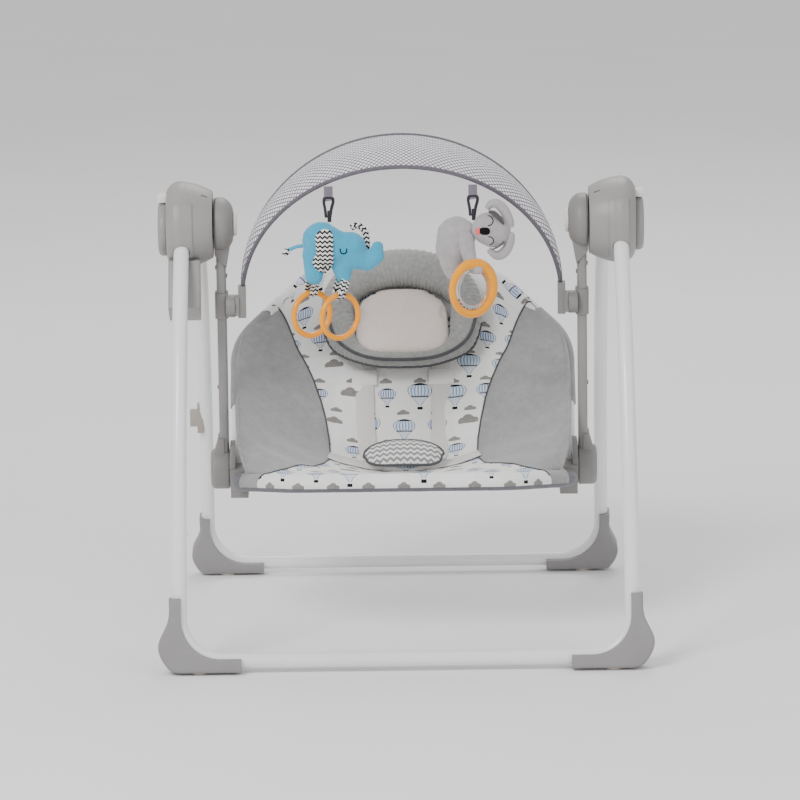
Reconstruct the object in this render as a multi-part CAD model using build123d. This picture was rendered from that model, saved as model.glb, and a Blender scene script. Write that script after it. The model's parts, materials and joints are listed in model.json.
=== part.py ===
from build123d import *
import math
import os

# Folding baby swing. Millimetres, +X to the right seen from the front, +Y to the
# back, +Z up. The origin is on the floor, in the middle of the stance.
# "Right" is the +X side. Most pieces are made on that side and mirrored.

# Stance and frame tubes
base_half_depth = 276.0
front_tube_d = 20.0
rear_tube_d = 18.0
tube_wall = 1.2
tube_centre_z = 16.0
front_foot_x = 293.0
leg_inward_lean = 4.5
leg_gap = 1.8
corner_bend = 56.0
stub_length = 132.0
spigot_length = 38.0
leg_lean_deg = 10.0
slip_fit = 0.1
run_fit = 0.05
snap_r = 3.0
snap_rise = 34.0

# Feet
foot_wall = 2.5
front_foot_length = 80.0
front_foot_height = 82.0
rear_foot_length = 76.0
rear_foot_height = 70.0
foot_flare = 27.0
rear_foot_flare = 23.0
foot_half_depth = 15.0
foot_round = 4.0
foot_heel_in = 6.0
foot_lip = 3.0
sole_z = 3.5
pad_r = 11.0
pad_inset = 26.0

# Hub
hub_z = 540.0
leg_top_y = 22.0
leg_top_drop = 5.0
hub_r = 57.0
hub_inner_face_r = 44.0
hub_outer_face_r = 42.0
hub_wall = 2.5
hub_inboard = 40.5
hub_parting = 4.5
hub_outboard = 20.5
panel_thick = 1.6
side_cap_r = 36.0
side_cap_thick = 11.0
side_cap_drop = 5.0
core_r = 11.0
bush_r = 8.0
bush_length = 10.0
shaft_r = 6.0
knuckle_r = 17.0
knuckle_length = 16.5
socket_wall = 2.5
socket_length = 20.0
fold_angle = 50.0
button_width = 28.0
button_height = 11.0
button_gap = 0.4
button_inset = 2.0
button_travel = 4.0
leg_slot_room = 0.6
rear_slot_room = 1.2
rear_rest_deg = 59.0
slot_before_deg = 14.0
slot_after_deg = 15.0
vent_size = (8.0, 2.4, 16.0)
vent_turn_deg = 32.0
panel_from_deg = -128.0
panel_to_deg = -36.0
panel_in = 14.5
panel_out = 10.5
ring_inset = 8.0
web_thick = 7.0
web_high = 9.0
web_low = 18.0
web_reach = 14.0

# Drive
gear_module = 0.7
gear_teeth = 48
pinion_teeth = 12
gear_thick = 4.0
gear_rise = 30.0
crank_radius = 9.2
crank_pin_r = 2.0
motor_r = 12.0
motor_length = 26.0
motor_angle_deg = -10.0
motor_gap = 0.6
fork_thick = 4.0
fork_half_width = 6.0
fork_slot_gap = 0.5
plate_thick = 2.0
board_thick = 1.6
inlet_length = 13.0

# Battery box under the left hub
box_drop = 124.0
box_back_y = -16.0
box_half_width = 19.5
box_wall = 2.0
box_top_drop = 40.0
box_heel_rise = 14.0
box_belly_y = -84.0
box_belly_drop = 96.0
box_leg_room = 1.5
box_inset_x = 4.0
lid_thick = 2.0
cell_r = 7.2
cell_pitch = 16.56
cell_drop = 84.0
cell_length = 50.0

# Swing arms
arm_offset = 9.5
arm_width = 12.5
arm_depth = 25.0
arm_wall = 1.5
head_r = 35.5
head_length = 25.0
head_gap = 1.5
head_wall = 2.5
dial_r = 16.0
dial_rise = 5.0
dial_stem_r = 4.0
pivot_z = 210.0
housing_r = 27.0
housing_length = 24.5
pivot_pin_r = 7.0
rivet_r = 2.8
rivet_rise = 1.6
collar_room = 2.0
arm_low_inset = 9.0
arm_high_inset = 20.0
head_boss_inset = 5.0
housing_skirt = 44.0

# Toy bar
collar_z = 432.0
collar_height = 34.0
collar_wall = 2.5
bar_pin_r = 4.0
bar_y = -10.0
bar_end_inset = 28.5
bar_end_z = 455.0
rear_bow_rise = 209.0
rear_bow_tilt = 8.0
front_bow_rise = 193.0
front_bow_tilt = 26.0
bow_r = 2.2
sleeve_thick = 1.2
sleeve_gap = 0.8
sleeve_from = 0.1
sleeve_to = 0.9
bar_disc_r = 15.0
bar_disc_x = 18.0
bar_pin_x = 26.0
holder_gap = 0.4
bow_tail = 14.0
bow_tail_half = 2.6

# Toys
toy_x = 94.0
tab_hem_r = 2.0
tab_hem_drop = 3.0
ring_tube_r = 3.7
small_ring_r = 28.5
large_ring_r = 36.0
ring_turn_deg = 35.0
hang_forward = 84.0
hang_rise = 151.0
hook_drop = 26.0
hook_r = 9.0
hook_bore = 5.5
hook_thick = 5.0
tab_half = 8.0
tab_half_thick = 1.2
ring_drop = 172.0
loop_r = 8.5
loop_bore = 5.2
loop_width = 10.0

# Seat
seat_tube_r = 8.0
seat_tube_wall = 1.2
seat_tube_inset = 16.5
bracket_r = 26.0
bracket_thick = 7.5
bracket_gap = 0.4
front_edge_y = -172.0
front_edge_z = 226.0
front_start_z = 196.0
back_angle_deg = 46.8
back_start_y = 12.0
back_start_z = 200.0
back_length = 318.0
back_shoulder = 205.0
back_top_half = 120.0
back_bend = 80.0
front_bend = 60.0
front_corner_in = 78.0
front_corner_back = 77.0
sling_line = [(-160, 224), (-110, 214), (-40, 208), (25, 212), (70, 240), (140, 312), (212, 398)]
sling_thick = 4.0
cloth_gap = 0.5
strap_width = 25.0
strap_thick = 1.6
strap_x = 52.0
waist_z = 216.0
headrest_along = 241.0
headrest_off = 9.5
pad_drop = 18.0
buckle_y = 6.0
buckle_z = 222.0
buckle_size = (46.0, 36.0, 12.0)
adjuster_size = (34.0, 24.0, 3.0)
adjuster_y = 123.0
adjuster_z = 306.0
crotch_size = (108.0, 44.0, 14.0)
crotch_y = -38.0
crotch_z = 234.0
crotch_lean_deg = 36.0
wing_thick = 3.0
wing_inset = 14.0
ring_half_width = 109.0
ring_half_height = 92.0
ring_height = 38.0
hollow_half_width = 66.0
hollow_half_height = 56.0
pad_thick = 16.0

# Stations across the swing, all from the front leg's place
front_r = front_tube_d / 2
rear_r = rear_tube_d / 2
rear_foot_x = front_foot_x - front_r - rear_r - leg_gap
hub_x = front_foot_x - leg_inward_lean
rear_top_x = hub_x - front_r - rear_r - leg_gap + 0.6
hub_face_x = hub_x - hub_inboard
parting_x = hub_x - hub_parting
hub_out_x = hub_x + hub_outboard
arm_x = hub_face_x - arm_offset
head_out_x = hub_face_x - head_gap
head_in_x = head_out_x - head_length
seat_tube_x = arm_x - seat_tube_inset
bar_end_x = arm_x - bar_end_inset
housing_in_x = arm_x - arm_width / 2
hub_axis = Axis((0, 0, hub_z), (1, 0, 0))


def left(shape):
    # The same piece on the -X side.
    return mirror(shape, about=Plane.YZ)


def pair(shape):
    return Compound(children=[shape, left(shape)])


def ring_sweep(path, radius, wall):
    start = Plane(origin=path @ 0, z_dir=path % 0)
    return sweep(start * (Circle(radius) - Circle(radius - wall)), path=path)


def rod_sweep(path, radius):
    start = Plane(origin=path @ 0, z_dir=path % 0)
    return sweep(start * Circle(radius), path=path)


def x_rod(x_from, x_to, radius, y=0.0, z=hub_z):
    # Cylinder along X between two stations.
    length = x_to - x_from
    return Pos(x_from + length / 2, y, z) * Rot(0, 90, 0) * Cylinder(radius, length)


def block(x_from, x_to, y_from, y_to, z_from, z_to):
    size = (x_to - x_from, y_to - y_from, z_to - z_from)
    middle = ((x_from + x_to) / 2, (y_from + y_to) / 2, (z_from + z_to) / 2)
    return Pos(*middle) * Box(*size)


def yz_plate(points, x_from, x_to):
    # Plate with a (y, z) outline, from one X station to the next.
    outline = Polyline([(x_from, y, z) for y, z in points], close=True)
    return extrude(make_face(outline), amount=x_to - x_from, dir=(1, 0, 0))


def xz_plate(points, y_from, y_to):
    outline = Polyline([(x, y_from, z) for x, z in points], close=True)
    return extrude(make_face(outline), amount=y_to - y_from, dir=(0, 1, 0))


# ---- Frame: two U-shaped base tubes, four bowed legs, feet

def leg_route(foot_x, top_x, side_y):
    # Foot corner, seam with the base tube, and the leg's arc up to the hub.
    foot = Vector(foot_x, side_y * base_half_depth, tube_centre_z)
    top = Vector(top_x, side_y * leg_top_y, hub_z - leg_top_drop)
    inward = (top_x - foot_x) / (hub_z - tube_centre_z)
    run = Vector(inward, -side_y * math.tan(math.radians(leg_lean_deg)), 1).normalized()
    seam = foot + run * stub_length
    return foot, seam, run, TangentArc(seam, top, tangent=run)


def base_route(foot_x, top_x, side_y):
    foot, seam, run, arc = leg_route(foot_x, top_x, side_y)
    far_foot = Vector(-foot.X, foot.Y, foot.Z)
    far_seam = Vector(-seam.X, seam.Y, seam.Z)
    return FilletPolyline(far_seam, far_foot, foot, seam, radius=corner_bend)


def snap_button(foot_x, top_x, side_y, radius):
    # Spring button through the leg wall, on the side that faces the seat.
    foot, seam, run, arc = leg_route(foot_x, top_x, side_y)
    place = arc @ (snap_rise / arc.length)
    return x_rod(place.X - radius - 1.5, place.X - radius + 3.5, snap_r, place.Y, place.Z)


def base_tube(foot_x, top_x, side_y, radius):
    foot, seam, run, arc = leg_route(foot_x, top_x, side_y)
    body = ring_sweep(base_route(foot_x, top_x, side_y), radius, tube_wall)
    spigot_r = radius - tube_wall - slip_fit
    spigot = ring_sweep(arc.trim(0, spigot_length / arc.length), spigot_r, tube_wall)
    end = Plane(origin=seam, z_dir=run)
    shoulder = extrude(end * (Circle(radius - slip_fit) - Circle(spigot_r - tube_wall)), amount=-3)
    end_piece = shoulder + spigot - snap_button(foot_x, top_x, side_y, radius)
    return body + end_piece + left(end_piece)


def leg(foot_x, top_x, side_y, radius):
    arc = leg_route(foot_x, top_x, side_y)[3]
    return ring_sweep(arc, radius, tube_wall) - snap_button(foot_x, top_x, side_y, radius)


def foot(foot_x, top_x, side_y, radius, length, height, flare):
    # Corner moulding: a bulging heel outside the bend, and a groove that the tube lies in.
    corner, seam, run, arc = leg_route(foot_x, top_x, side_y)
    shell = radius + foot_wall
    below = shell + foot_wall
    heel = Spline((shell, height), (flare * 0.54, height * 0.62), (flare, height * 0.22),
                  (flare * 0.55, -below * 0.55), (-foot_heel_in, -below), tangents=((0, -1), (-1, 0)))
    sole = Polyline((-foot_heel_in, -below), (-length, -below), (-length, foot_lip), (-corner_bend, foot_lip))
    slope = corner_bend * (1 - math.cos(math.radians(45)))
    inner = ThreePointArc((-corner_bend, foot_lip), (-slope, slope + foot_lip), (-foot_lip, corner_bend))
    tongue = Polyline((-foot_lip, corner_bend), (-foot_lip, height), (shell, height))
    face = make_face(Curve() + heel + sole + inner + tongue)
    plane = Plane(origin=corner, x_dir=(1, 0, 0), z_dir=Vector(1, 0, 0).cross(run))
    body = plane * extrude(face, amount=foot_half_depth, both=True)
    rims = body.edges().filter_by(GeomType.BSPLINE)
    body = fillet(rims, foot_round)
    body = body - rod_sweep(base_route(foot_x, top_x, side_y), radius + slip_fit)
    return body - block(-2 * foot_x, 2 * foot_x, -2 * base_half_depth, 2 * base_half_depth, -50, sole_z)


def foot_pad(foot_x, side_y):
    place = Pos(foot_x - pad_inset, side_y * base_half_depth, sole_z / 2)
    return place * Cylinder(pad_r, sole_z)


# ---- Hub: carrier, hollow drum in two halves, trim, fold buttons

def hub_drum(inset):
    # Domed drum about the swing axis, turned from a profile of X against radius.
    near = hub_face_x + inset
    far = hub_out_x - inset
    crown = parting_x + 2
    rise = Curve()
    rise += ThreePointArc((near, hub_inner_face_r - inset), (near + 18, hub_r - 4.5 - inset),
                          (crown, hub_r - inset))
    rise += ThreePointArc((crown, hub_r - inset), (far - 7, hub_r - 3.5 - inset),
                          (far, hub_outer_face_r - inset))
    rise += Polyline((far, hub_outer_face_r - inset), (far, 0), (near, 0),
                     (near, hub_inner_face_r - inset))
    return Pos(0, 0, hub_z) * revolve(make_face(rise), axis=Axis.X)


def sector(radius, start_deg, end_deg, x_from, x_to):
    # Wedge about the swing axis. Angles run from straight down towards +Y.
    points = [(0.0, hub_z)]
    steps = 8
    for step in range(steps + 1):
        angle = math.radians(start_deg + (end_deg - start_deg) * step / steps)
        points.append((radius * math.sin(angle), hub_z - radius * math.cos(angle)))
    return yz_plate(points, x_from, x_to)


def front_leg_space(extra):
    arc = leg_route(front_foot_x, hub_x, -1)[3]
    return rod_sweep(arc, front_r + extra)


def hub_hollow():
    shell = hub_drum(0) - hub_drum(hub_wall)
    shell -= front_leg_space(leg_slot_room)
    # slot that the rear leg sweeps as the frame folds
    room = rear_r + rear_slot_room
    slot_from = rear_rest_deg - fold_angle - slot_before_deg
    slot_to = rear_rest_deg + slot_after_deg
    shell -= sector(2 * hub_r, slot_from, slot_to, rear_top_x - room, rear_top_x + room)
    shell -= x_rod(hub_face_x - 1, hub_face_x + hub_wall + 1, bush_r + 1)
    # vent slot on the shoulder
    shoulder = Pos(hub_face_x + 10, 0, hub_z) * Rot(vent_turn_deg, 0, 0) * Pos(0, 0, hub_r - 6)
    return shell - shoulder * Box(*vent_size)


def button_box(gap, travel=0.0):
    low = hub_z - side_cap_drop + side_cap_r + button_gap
    return block(hub_out_x - button_inset - travel - gap, hub_out_x + side_cap_thick,
                 -button_width / 2 - gap, button_width / 2 + gap, low - gap, low + button_height + gap)


def side_cap():
    cap = x_rod(hub_out_x, hub_out_x + side_cap_thick, side_cap_r, z=hub_z - side_cap_drop)
    rim = cap.edges().filter_by(GeomType.CIRCLE).sort_by(Axis.X)[-1]
    cap = fillet(rim, side_cap_thick * 0.6)
    return cap - button_box(button_gap)


def front_panel():
    # Raised panel on the front of the rim, with an arch over the leg.
    skin = hub_drum(-panel_thick) - hub_drum(0)
    strip = sector(2 * hub_r, panel_from_deg, panel_to_deg, hub_x - panel_in, hub_x + panel_out)
    return (skin & strip) - front_leg_space(2 * leg_slot_room)


def leg_web(side_y, x_from, x_to):
    # Rib from the axis to the top of a leg.
    points = [(0, hub_z + web_high), (leg_top_y + 4, hub_z + 2), (leg_top_y + web_reach, hub_z - web_low + 2),
              (leg_top_y, hub_z - web_low), (0, hub_z - web_high)]
    return yz_plate([(side_y * y, z) for y, z in points], x_from, x_to)


def hub_core():
    # Carrier: a tube round the swing shaft, joined to the front leg's socket.
    arc = leg_route(front_foot_x, hub_x, -1)[3]
    socket = rod_sweep(arc.trim(1 - socket_length / arc.length, 1), front_r + socket_wall)
    tube = x_rod(hub_face_x + hub_wall + 1, parting_x, core_r)
    web = leg_web(-1, parting_x - web_thick, parting_x)
    body = tube + web + socket - front_leg_space(slip_fit)
    body -= x_rod(hub_face_x, parting_x + 1, shaft_r + 1)
    body -= x_rod(hub_face_x, hub_face_x + hub_wall + 1 + bush_length, bush_r)
    return body - x_rod(parting_x - bush_length, parting_x + 1, bush_r)


def shaft_bush(x_from):
    body = x_rod(x_from, x_from + bush_length, bush_r)
    return body - x_rod(x_from - 1, x_from + bush_length + 1, shaft_r + run_fit)


def rear_knuckle():
    # Ring that turns on the carrier, with a socket for the rear leg's top.
    arc = leg_route(rear_foot_x, rear_top_x, 1)[3]
    ring_x = hub_face_x + hub_wall + ring_inset
    ring = x_rod(ring_x, ring_x + knuckle_length, knuckle_r)
    socket = rod_sweep(arc.trim(1 - socket_length / arc.length, 1), rear_r + socket_wall)
    web = leg_web(1, ring_x, ring_x + knuckle_length)
    body = ring + web + socket
    body -= rod_sweep(arc, rear_r + slip_fit)
    return body - x_rod(hub_face_x, parting_x + 5, core_r + run_fit)


# ---- Drive in the left hub, made on the right and mirrored

def gear(teeth, thickness, bore, x_from, y, z, turn_deg):
    pitch = gear_module * teeth / 2
    root = pitch - 1.3 * gear_module
    tip = pitch + 0.9 * gear_module
    half = math.pi / (2 * teeth)
    points = []
    for tooth in range(teeth):
        middle = 2 * math.pi * tooth / teeth + math.radians(turn_deg)
        for share, radius in ((-1.05, root), (-0.38, tip), (0.38, tip), (1.05, root)):
            angle = middle + share * half
            points.append((y + radius * math.cos(angle), z + radius * math.sin(angle)))
    wheel = yz_plate(points, x_from, x_from + thickness)
    return wheel - x_rod(x_from - 1, x_from + thickness + 1, bore, y, z)


fork_x = parting_x + 1.0
gear_x = parting_x + 9.5
pinion_distance = gear_module * (gear_teeth + pinion_teeth) / 2
motor_y = pinion_distance * math.cos(math.radians(motor_angle_deg))
motor_z = hub_z + gear_rise + pinion_distance * math.sin(math.radians(motor_angle_deg))
pinion_bore = 1.0
inlet_r = 5.0
gear_bore = 2.5


def drive_gear():
    wheel = gear(gear_teeth, gear_thick, gear_bore, gear_x, 0, hub_z + gear_rise, motor_angle_deg)
    pin_z = hub_z + gear_rise + crank_radius
    return wheel + x_rod(gear_x - 3, gear_x, crank_pin_r, 0, pin_z)


def motor_pinion():
    turn = motor_angle_deg + 180 + 180 / pinion_teeth
    wheel = gear(pinion_teeth, gear_thick + 1, pinion_bore, gear_x, motor_y, motor_z, turn)
    return wheel


def drive_motor():
    # Its body sits inboard of the fork's swing, and its shaft reaches past the fork to the pinion.
    body = x_rod(fork_x - motor_gap - motor_length, fork_x - motor_gap, motor_r, motor_y, motor_z)
    shaft_to = gear_x + gear_thick + 1.5
    return body + x_rod(fork_x - motor_gap, shaft_to, pinion_bore - run_fit, motor_y, motor_z)


def gear_post():
    # Plate on the outer shell that carries the gear's post, the motor and the board.
    plate_x = gear_x + gear_thick + plate_thick
    plate = block(plate_x, plate_x + plate_thick, -26, 32, hub_z + 14, hub_z + 36)
    post = x_rod(gear_x - 0.5, plate_x, gear_bore - run_fit, 0, hub_z + gear_rise)
    stop = x_rod(gear_x + gear_thick + 0.6, plate_x, gear_bore + 2, 0, hub_z + gear_rise)
    return plate + post + stop - x_rod(gear_x, plate_x + 3, pinion_bore + 0.5, motor_y, motor_z)


def circuit_board():
    board_x = gear_x + gear_thick + 2 * plate_thick
    return block(board_x, board_x + board_thick, -22, 26, hub_z + 15, hub_z + 29)


def inlet_place():
    return Pos(parting_x + 8, hub_r - 8, hub_z - 16) * Rot(90, 0, 0)


def power_inlet():
    # Barrel jack in the back of the left hub.
    body = inlet_place() * Cylinder(inlet_r, inlet_length)
    return body - inlet_place() * Pos(0, 0, -3) * Cylinder(inlet_r - 2, 11)


def swing_shaft():
    return x_rod(head_in_x + head_wall + 5, parting_x + 6, shaft_r)


def drive_fork():
    # Slotted lever on the end of the shaft that the crank pin pushes.
    x_from = fork_x
    x_to = fork_x + fork_thick
    lever = x_rod(x_from, x_to, shaft_r + 4)
    lever += block(x_from, x_to, -fork_half_width, fork_half_width, hub_z, hub_z + gear_rise + 14)
    slot_half = crank_pin_r + fork_slot_gap
    slot = block(x_from - 1, x_to + 1, -slot_half, slot_half, hub_z + 16, hub_z + gear_rise + 20)
    return lever - slot - x_rod(x_from - 1, x_to + 1, shaft_r)


# ---- Battery box under the left hub

def box_points(inset):
    # Side view of the box: its top hides inside the drum, its belly swells to the front.
    low = hub_z - box_drop + inset
    back = box_back_y - inset
    top = hub_z - box_top_drop - inset
    belly_z = hub_z - box_belly_drop
    return [(back, top), (back, low + box_heel_rise), (back - 10, low), (back - 26, low + 4),
            (box_belly_y + inset, belly_z + inset), (box_belly_y + 18 + inset, belly_z + 30),
            (box_belly_y + 34, top)]


def battery_box():
    middle = hub_x - box_inset_x
    outer = yz_plate(box_points(0), middle - box_half_width, middle + box_half_width)
    inner = yz_plate(box_points(box_wall), middle - box_half_width + box_wall,
                     middle + box_half_width + 1)
    return outer - inner - front_leg_space(box_leg_room) - hub_drum(0) - front_panel()


def battery_door():
    lid_x = hub_x - box_inset_x + box_half_width
    lid = yz_plate(box_points(0), lid_x, lid_x + lid_thick)
    return lid - hub_drum(0) - front_leg_space(box_leg_room)


def battery_cells():
    cells = []
    for step in range(2):
        y = box_back_y - 11 - step * cell_pitch
        cells.append(Pos(hub_x - 6, y, hub_z - cell_drop) * Cylinder(cell_r, cell_length))
    return Compound(children=cells)


# ---- Swing arms

def head_profile(inset, x_shift=0.0):
    out = head_out_x + x_shift
    near = head_in_x + inset
    face = Curve()
    face += Polyline((out, 0), (out, head_r - 2.5 - inset), (head_out_x - 2.5, head_r - inset),
                     (head_out_x - 11, head_r - inset))
    face += ThreePointArc((head_out_x - 11, head_r - inset), (near + 4.5, head_r - 6.5 - inset),
                          (near, dial_r + 4 - inset))
    face += Polyline((near, dial_r + 4 - inset), (near, 0), (out, 0))
    return Pos(0, 0, hub_z) * revolve(make_face(face), axis=Axis.X)


def arm_head():
    dome = head_profile(0) - head_profile(head_wall, 1.0)
    boss_x = head_in_x + head_wall + head_boss_inset
    boss = x_rod(boss_x, head_out_x, shaft_r + 4)
    rib = block(boss_x, head_out_x, -3, 3, hub_z - head_r + 1, hub_z + head_r - 1)
    rib &= head_profile(head_wall - 0.5)
    collar = xz_plate([(head_in_x + 4, hub_z - 26), (head_out_x, hub_z - 26),
                       (head_out_x, hub_z - 38), (arm_x + arm_width / 2 + 1.5, hub_z - 40),
                       (arm_x - arm_width / 2 - 1.5, hub_z - 56)],
                      -arm_depth / 2 - collar_room, arm_depth / 2 + collar_room)
    body = dome + boss + rib + collar
    body -= block(arm_x - arm_width / 2 - slip_fit, arm_x + arm_width / 2 + slip_fit,
                  -arm_depth / 2 - slip_fit, arm_depth / 2 + slip_fit, hub_z - 70, hub_z - 20)
    body -= x_rod(head_in_x + head_wall + 4, head_out_x + 1, shaft_r)
    return body - x_rod(head_in_x - 1, head_in_x + head_wall + 1, dial_stem_r + run_fit)


def dial():
    knob = x_rod(head_in_x - dial_rise, head_in_x - 0.3, dial_r)
    rim = knob.edges().filter_by(GeomType.CIRCLE).sort_by(Axis.X)[0]
    knob = fillet(rim, dial_rise * 0.6)
    return knob + x_rod(head_in_x - 1, head_in_x + head_wall + 2, dial_stem_r)


def arm_bar(extra, z_from, z_to):
    width = arm_width + 2 * extra
    depth = arm_depth + 2 * extra
    section = RectangleRounded(width, depth, width * 0.38)
    return extrude(Pos(arm_x, 0, z_from) * section, amount=z_to - z_from)


def swing_arm():
    z_from = pivot_z + arm_low_inset
    z_to = hub_z - arm_high_inset
    body = arm_bar(0, z_from, z_to) - arm_bar(-arm_wall, z_from - 1, z_to + 1)
    for rivet in arm_rivets():
        body -= rivet
    return body


def arm_rivets():
    # Rivet heads: outboard and inboard, near both ends and above the collar.
    face = arm_width / 2
    spots = [(1, hub_z - 58), (-1, hub_z - 69), (1, pivot_z + 111), (1, pivot_z + 46)]
    rivets = []
    for side, z in spots:
        outer = arm_x + side * (face + rivet_rise)
        inner = arm_x + side * (face - arm_wall)
        rivets.append(x_rod(min(inner, outer), max(inner, outer), rivet_r, 0, z))
    return rivets


def pivot_housing():
    body = x_rod(housing_in_x + 0.5, housing_in_x + housing_length, housing_r, z=pivot_z)
    rim = body.edges().filter_by(GeomType.CIRCLE).sort_by(Axis.X)[-1]
    body = fillet(rim, 7)
    skirt_top = pivot_z + housing_skirt
    body += xz_plate([(arm_x, pivot_z + 10), (arm_x, skirt_top), (arm_x + 8.5, skirt_top - 2),
                      (housing_in_x + housing_length - 3, pivot_z + 18)],
                     -arm_depth / 2 - collar_room, arm_depth / 2 + collar_room)
    body -= block(arm_x - arm_width / 2 - slip_fit, arm_x + arm_width / 2 + slip_fit,
                  -arm_depth / 2 - slip_fit, arm_depth / 2 + slip_fit, pivot_z + 4, pivot_z + 90)
    for rivet in arm_rivets():
        body -= rivet
    return body - x_rod(housing_in_x - 1, housing_in_x + 14, pivot_pin_r + run_fit, z=pivot_z)


def toy_bar_collar():
    # Clamp round the arm with a pin that points inwards.
    half = collar_height / 2
    body = arm_bar(collar_wall, collar_z - half, collar_z + half)
    body += x_rod(arm_x - bar_disc_x, arm_x - arm_width / 2, bar_disc_r, bar_y, collar_z)
    body -= arm_bar(slip_fit, collar_z - half - 1, collar_z + half + 1)
    return body + x_rod(arm_x - bar_pin_x, arm_x - bar_disc_x + 1, bar_pin_r, bar_y, collar_z)


# ---- Toy bar

def toy_bar_holder():
    # Block that turns on the collar's pin and grips the end of the bows.
    x_to = arm_x - bar_disc_x - holder_gap
    body = block(x_to - 5, x_to, bar_y - 12, bar_y + 12, collar_z - 12, collar_z + 13)
    body += block(x_to - 14, x_to - 4, bar_y - 9, bar_y + 9, collar_z - 15, collar_z + 27)
    body -= x_rod(x_to - 9, x_to + 1, bar_pin_r + run_fit, bar_y, collar_z)
    return body - bow_frame(slip_fit)


def bow(rise, tilt, grow):
    # One bow: an arc between the two holders, leaning forwards.
    up = Vector(0, -math.sin(math.radians(tilt)), math.cos(math.radians(tilt)))
    foot_at = Vector(0, bar_y, bar_end_z)
    end_x = bar_end_x + grow
    crown = foot_at + up * (rise + grow)
    return ThreePointArc(foot_at + Vector(-end_x, 0, 0), crown, foot_at + Vector(end_x, 0, 0))


def bow_frame(extra):
    body = rod_sweep(bow(rear_bow_rise, rear_bow_tilt, 0), bow_r + extra)
    body += rod_sweep(bow(front_bow_rise, front_bow_tilt, 0), bow_r + extra)
    half = bow_tail_half + extra
    tail = block(bar_end_x - half, bar_end_x + half, bar_y - 4 - extra, bar_y + 4 + extra,
                 bar_end_z - bow_tail - extra, bar_end_z + 4 + extra)
    return body + tail + left(tail)


def toy_bar_sleeve():
    # Mesh fabric stretched between the two bows.
    rear = bow(rear_bow_rise, rear_bow_tilt, -bow_r - sleeve_gap).trim(sleeve_from, sleeve_to)
    front = bow(front_bow_rise, front_bow_tilt, bow_r + sleeve_gap).trim(sleeve_from, sleeve_to)
    face = Face.make_surface_from_curves(rear, front)
    return thicken(face, amount=sleeve_thick / 2, both=True)


toy_hang = Vector(toy_x, bar_y - hang_forward, bar_end_z + hang_rise)


def toy_hook():
    # C-shaped hook on a webbing tab.
    x, y, z = toy_hang.X, toy_hang.Y, toy_hang.Z
    ring = Cylinder(hook_r, hook_thick) - Cylinder(hook_bore, hook_thick + 2)
    ring = Pos(x, y, z - hook_drop) * Rot(90, 0, 0) * ring
    tab = block(x - tab_half, x + tab_half, y - tab_half_thick, y + tab_half_thick, z - 16, z - 4)
    tail = block(x - 4, x + 4, y - tab_half_thick, y + tab_half_thick, z - 45, z - 34)
    hem = x_rod(x - tab_half, x + tab_half, tab_hem_r, y, z - tab_hem_drop)
    return tab + hem + ring + tail


def teether(x, y, z, radius):
    place = Pos(x, y, z) * Rot(0, 0, ring_turn_deg) * Rot(90, 0, 0)
    return place * Torus(radius, ring_tube_r)


left_ring = Vector(-118, toy_hang.Y + 8, toy_hang.Z - ring_drop)
right_ring = Vector(-81, toy_hang.Y - 12, toy_hang.Z - ring_drop)


def elephant():
    x, y, z = -toy_hang.X, toy_hang.Y, toy_hang.Z
    body = block(x - 40, x - 2, y - 19, y + 19, z - 124, z - 46)
    head = block(x - 2, x + 28, y - 17, y + 17, z - 108, z - 48)
    trunk = block(x + 28, x + 68, y - 9, y + 9, z - 114, z - 78)
    legs = []
    for ring in (left_ring, right_ring):
        top = ring.Z + small_ring_r
        leg = block(ring.X - 9, ring.X + 9, ring.Y - 9, ring.Y + 9, top + 8, z - 120)
        strap = Pos(ring.X, ring.Y, top) * Rot(0, 0, ring_turn_deg) * Rot(0, 90, 0)
        loop = strap * (Cylinder(loop_r, loop_width) - Cylinder(loop_bore, loop_width + 2))
        legs.append(leg + loop)
    shape = body + head + trunk
    for leg in legs:
        shape += leg
    return shape


def koala():
    x, y, z = toy_hang.X, toy_hang.Y, toy_hang.Z
    body = block(x - 48, x - 2, y - 6, y + 26, z - 136, z - 62)
    head = block(x - 4, x + 47, y - 14, y + 24, z - 92, z - 46)
    crown = block(x + 11, x + 47, y - 14, y + 8, z - 46, z - 24)
    return body + head + crown


def koala_ring():
    return teether(toy_hang.X - 2, toy_hang.Y - 20, toy_hang.Z - 136, large_ring_r)


# ---- Seat: brackets, tube frame, soft goods

def back_point(across, along, off=0.0):
    # A point on the back's plane: across is X, along runs up it, off is forwards.
    angle = math.radians(back_angle_deg)
    y = back_start_y + along * math.cos(angle) - off * math.sin(angle)
    z = back_start_z + along * math.sin(angle) + off * math.cos(angle)
    return Vector(across, y, z)


def front_route():
    x = seat_tube_x - 4
    lean = (front_edge_z - front_start_z) / (-front_edge_y)

    def at(across, y):
        return Vector(across, y, front_start_z - y * lean)

    corner_x = x - front_corner_in
    corner_y = front_edge_y + front_corner_back
    points = [at(-x, -10), at(-x, corner_y), at(-corner_x, front_edge_y),
              at(corner_x, front_edge_y), at(x, corner_y), at(x, -10)]
    return FilletPolyline(*points, radius=front_bend)


def back_route():
    x = seat_tube_x
    flat = [(-x, 0), (-x, back_shoulder), (-back_top_half, back_length),
            (back_top_half, back_length), (x, back_shoulder), (x, 0)]
    return FilletPolyline(*[back_point(a, b) for a, b in flat], radius=back_bend)


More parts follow.
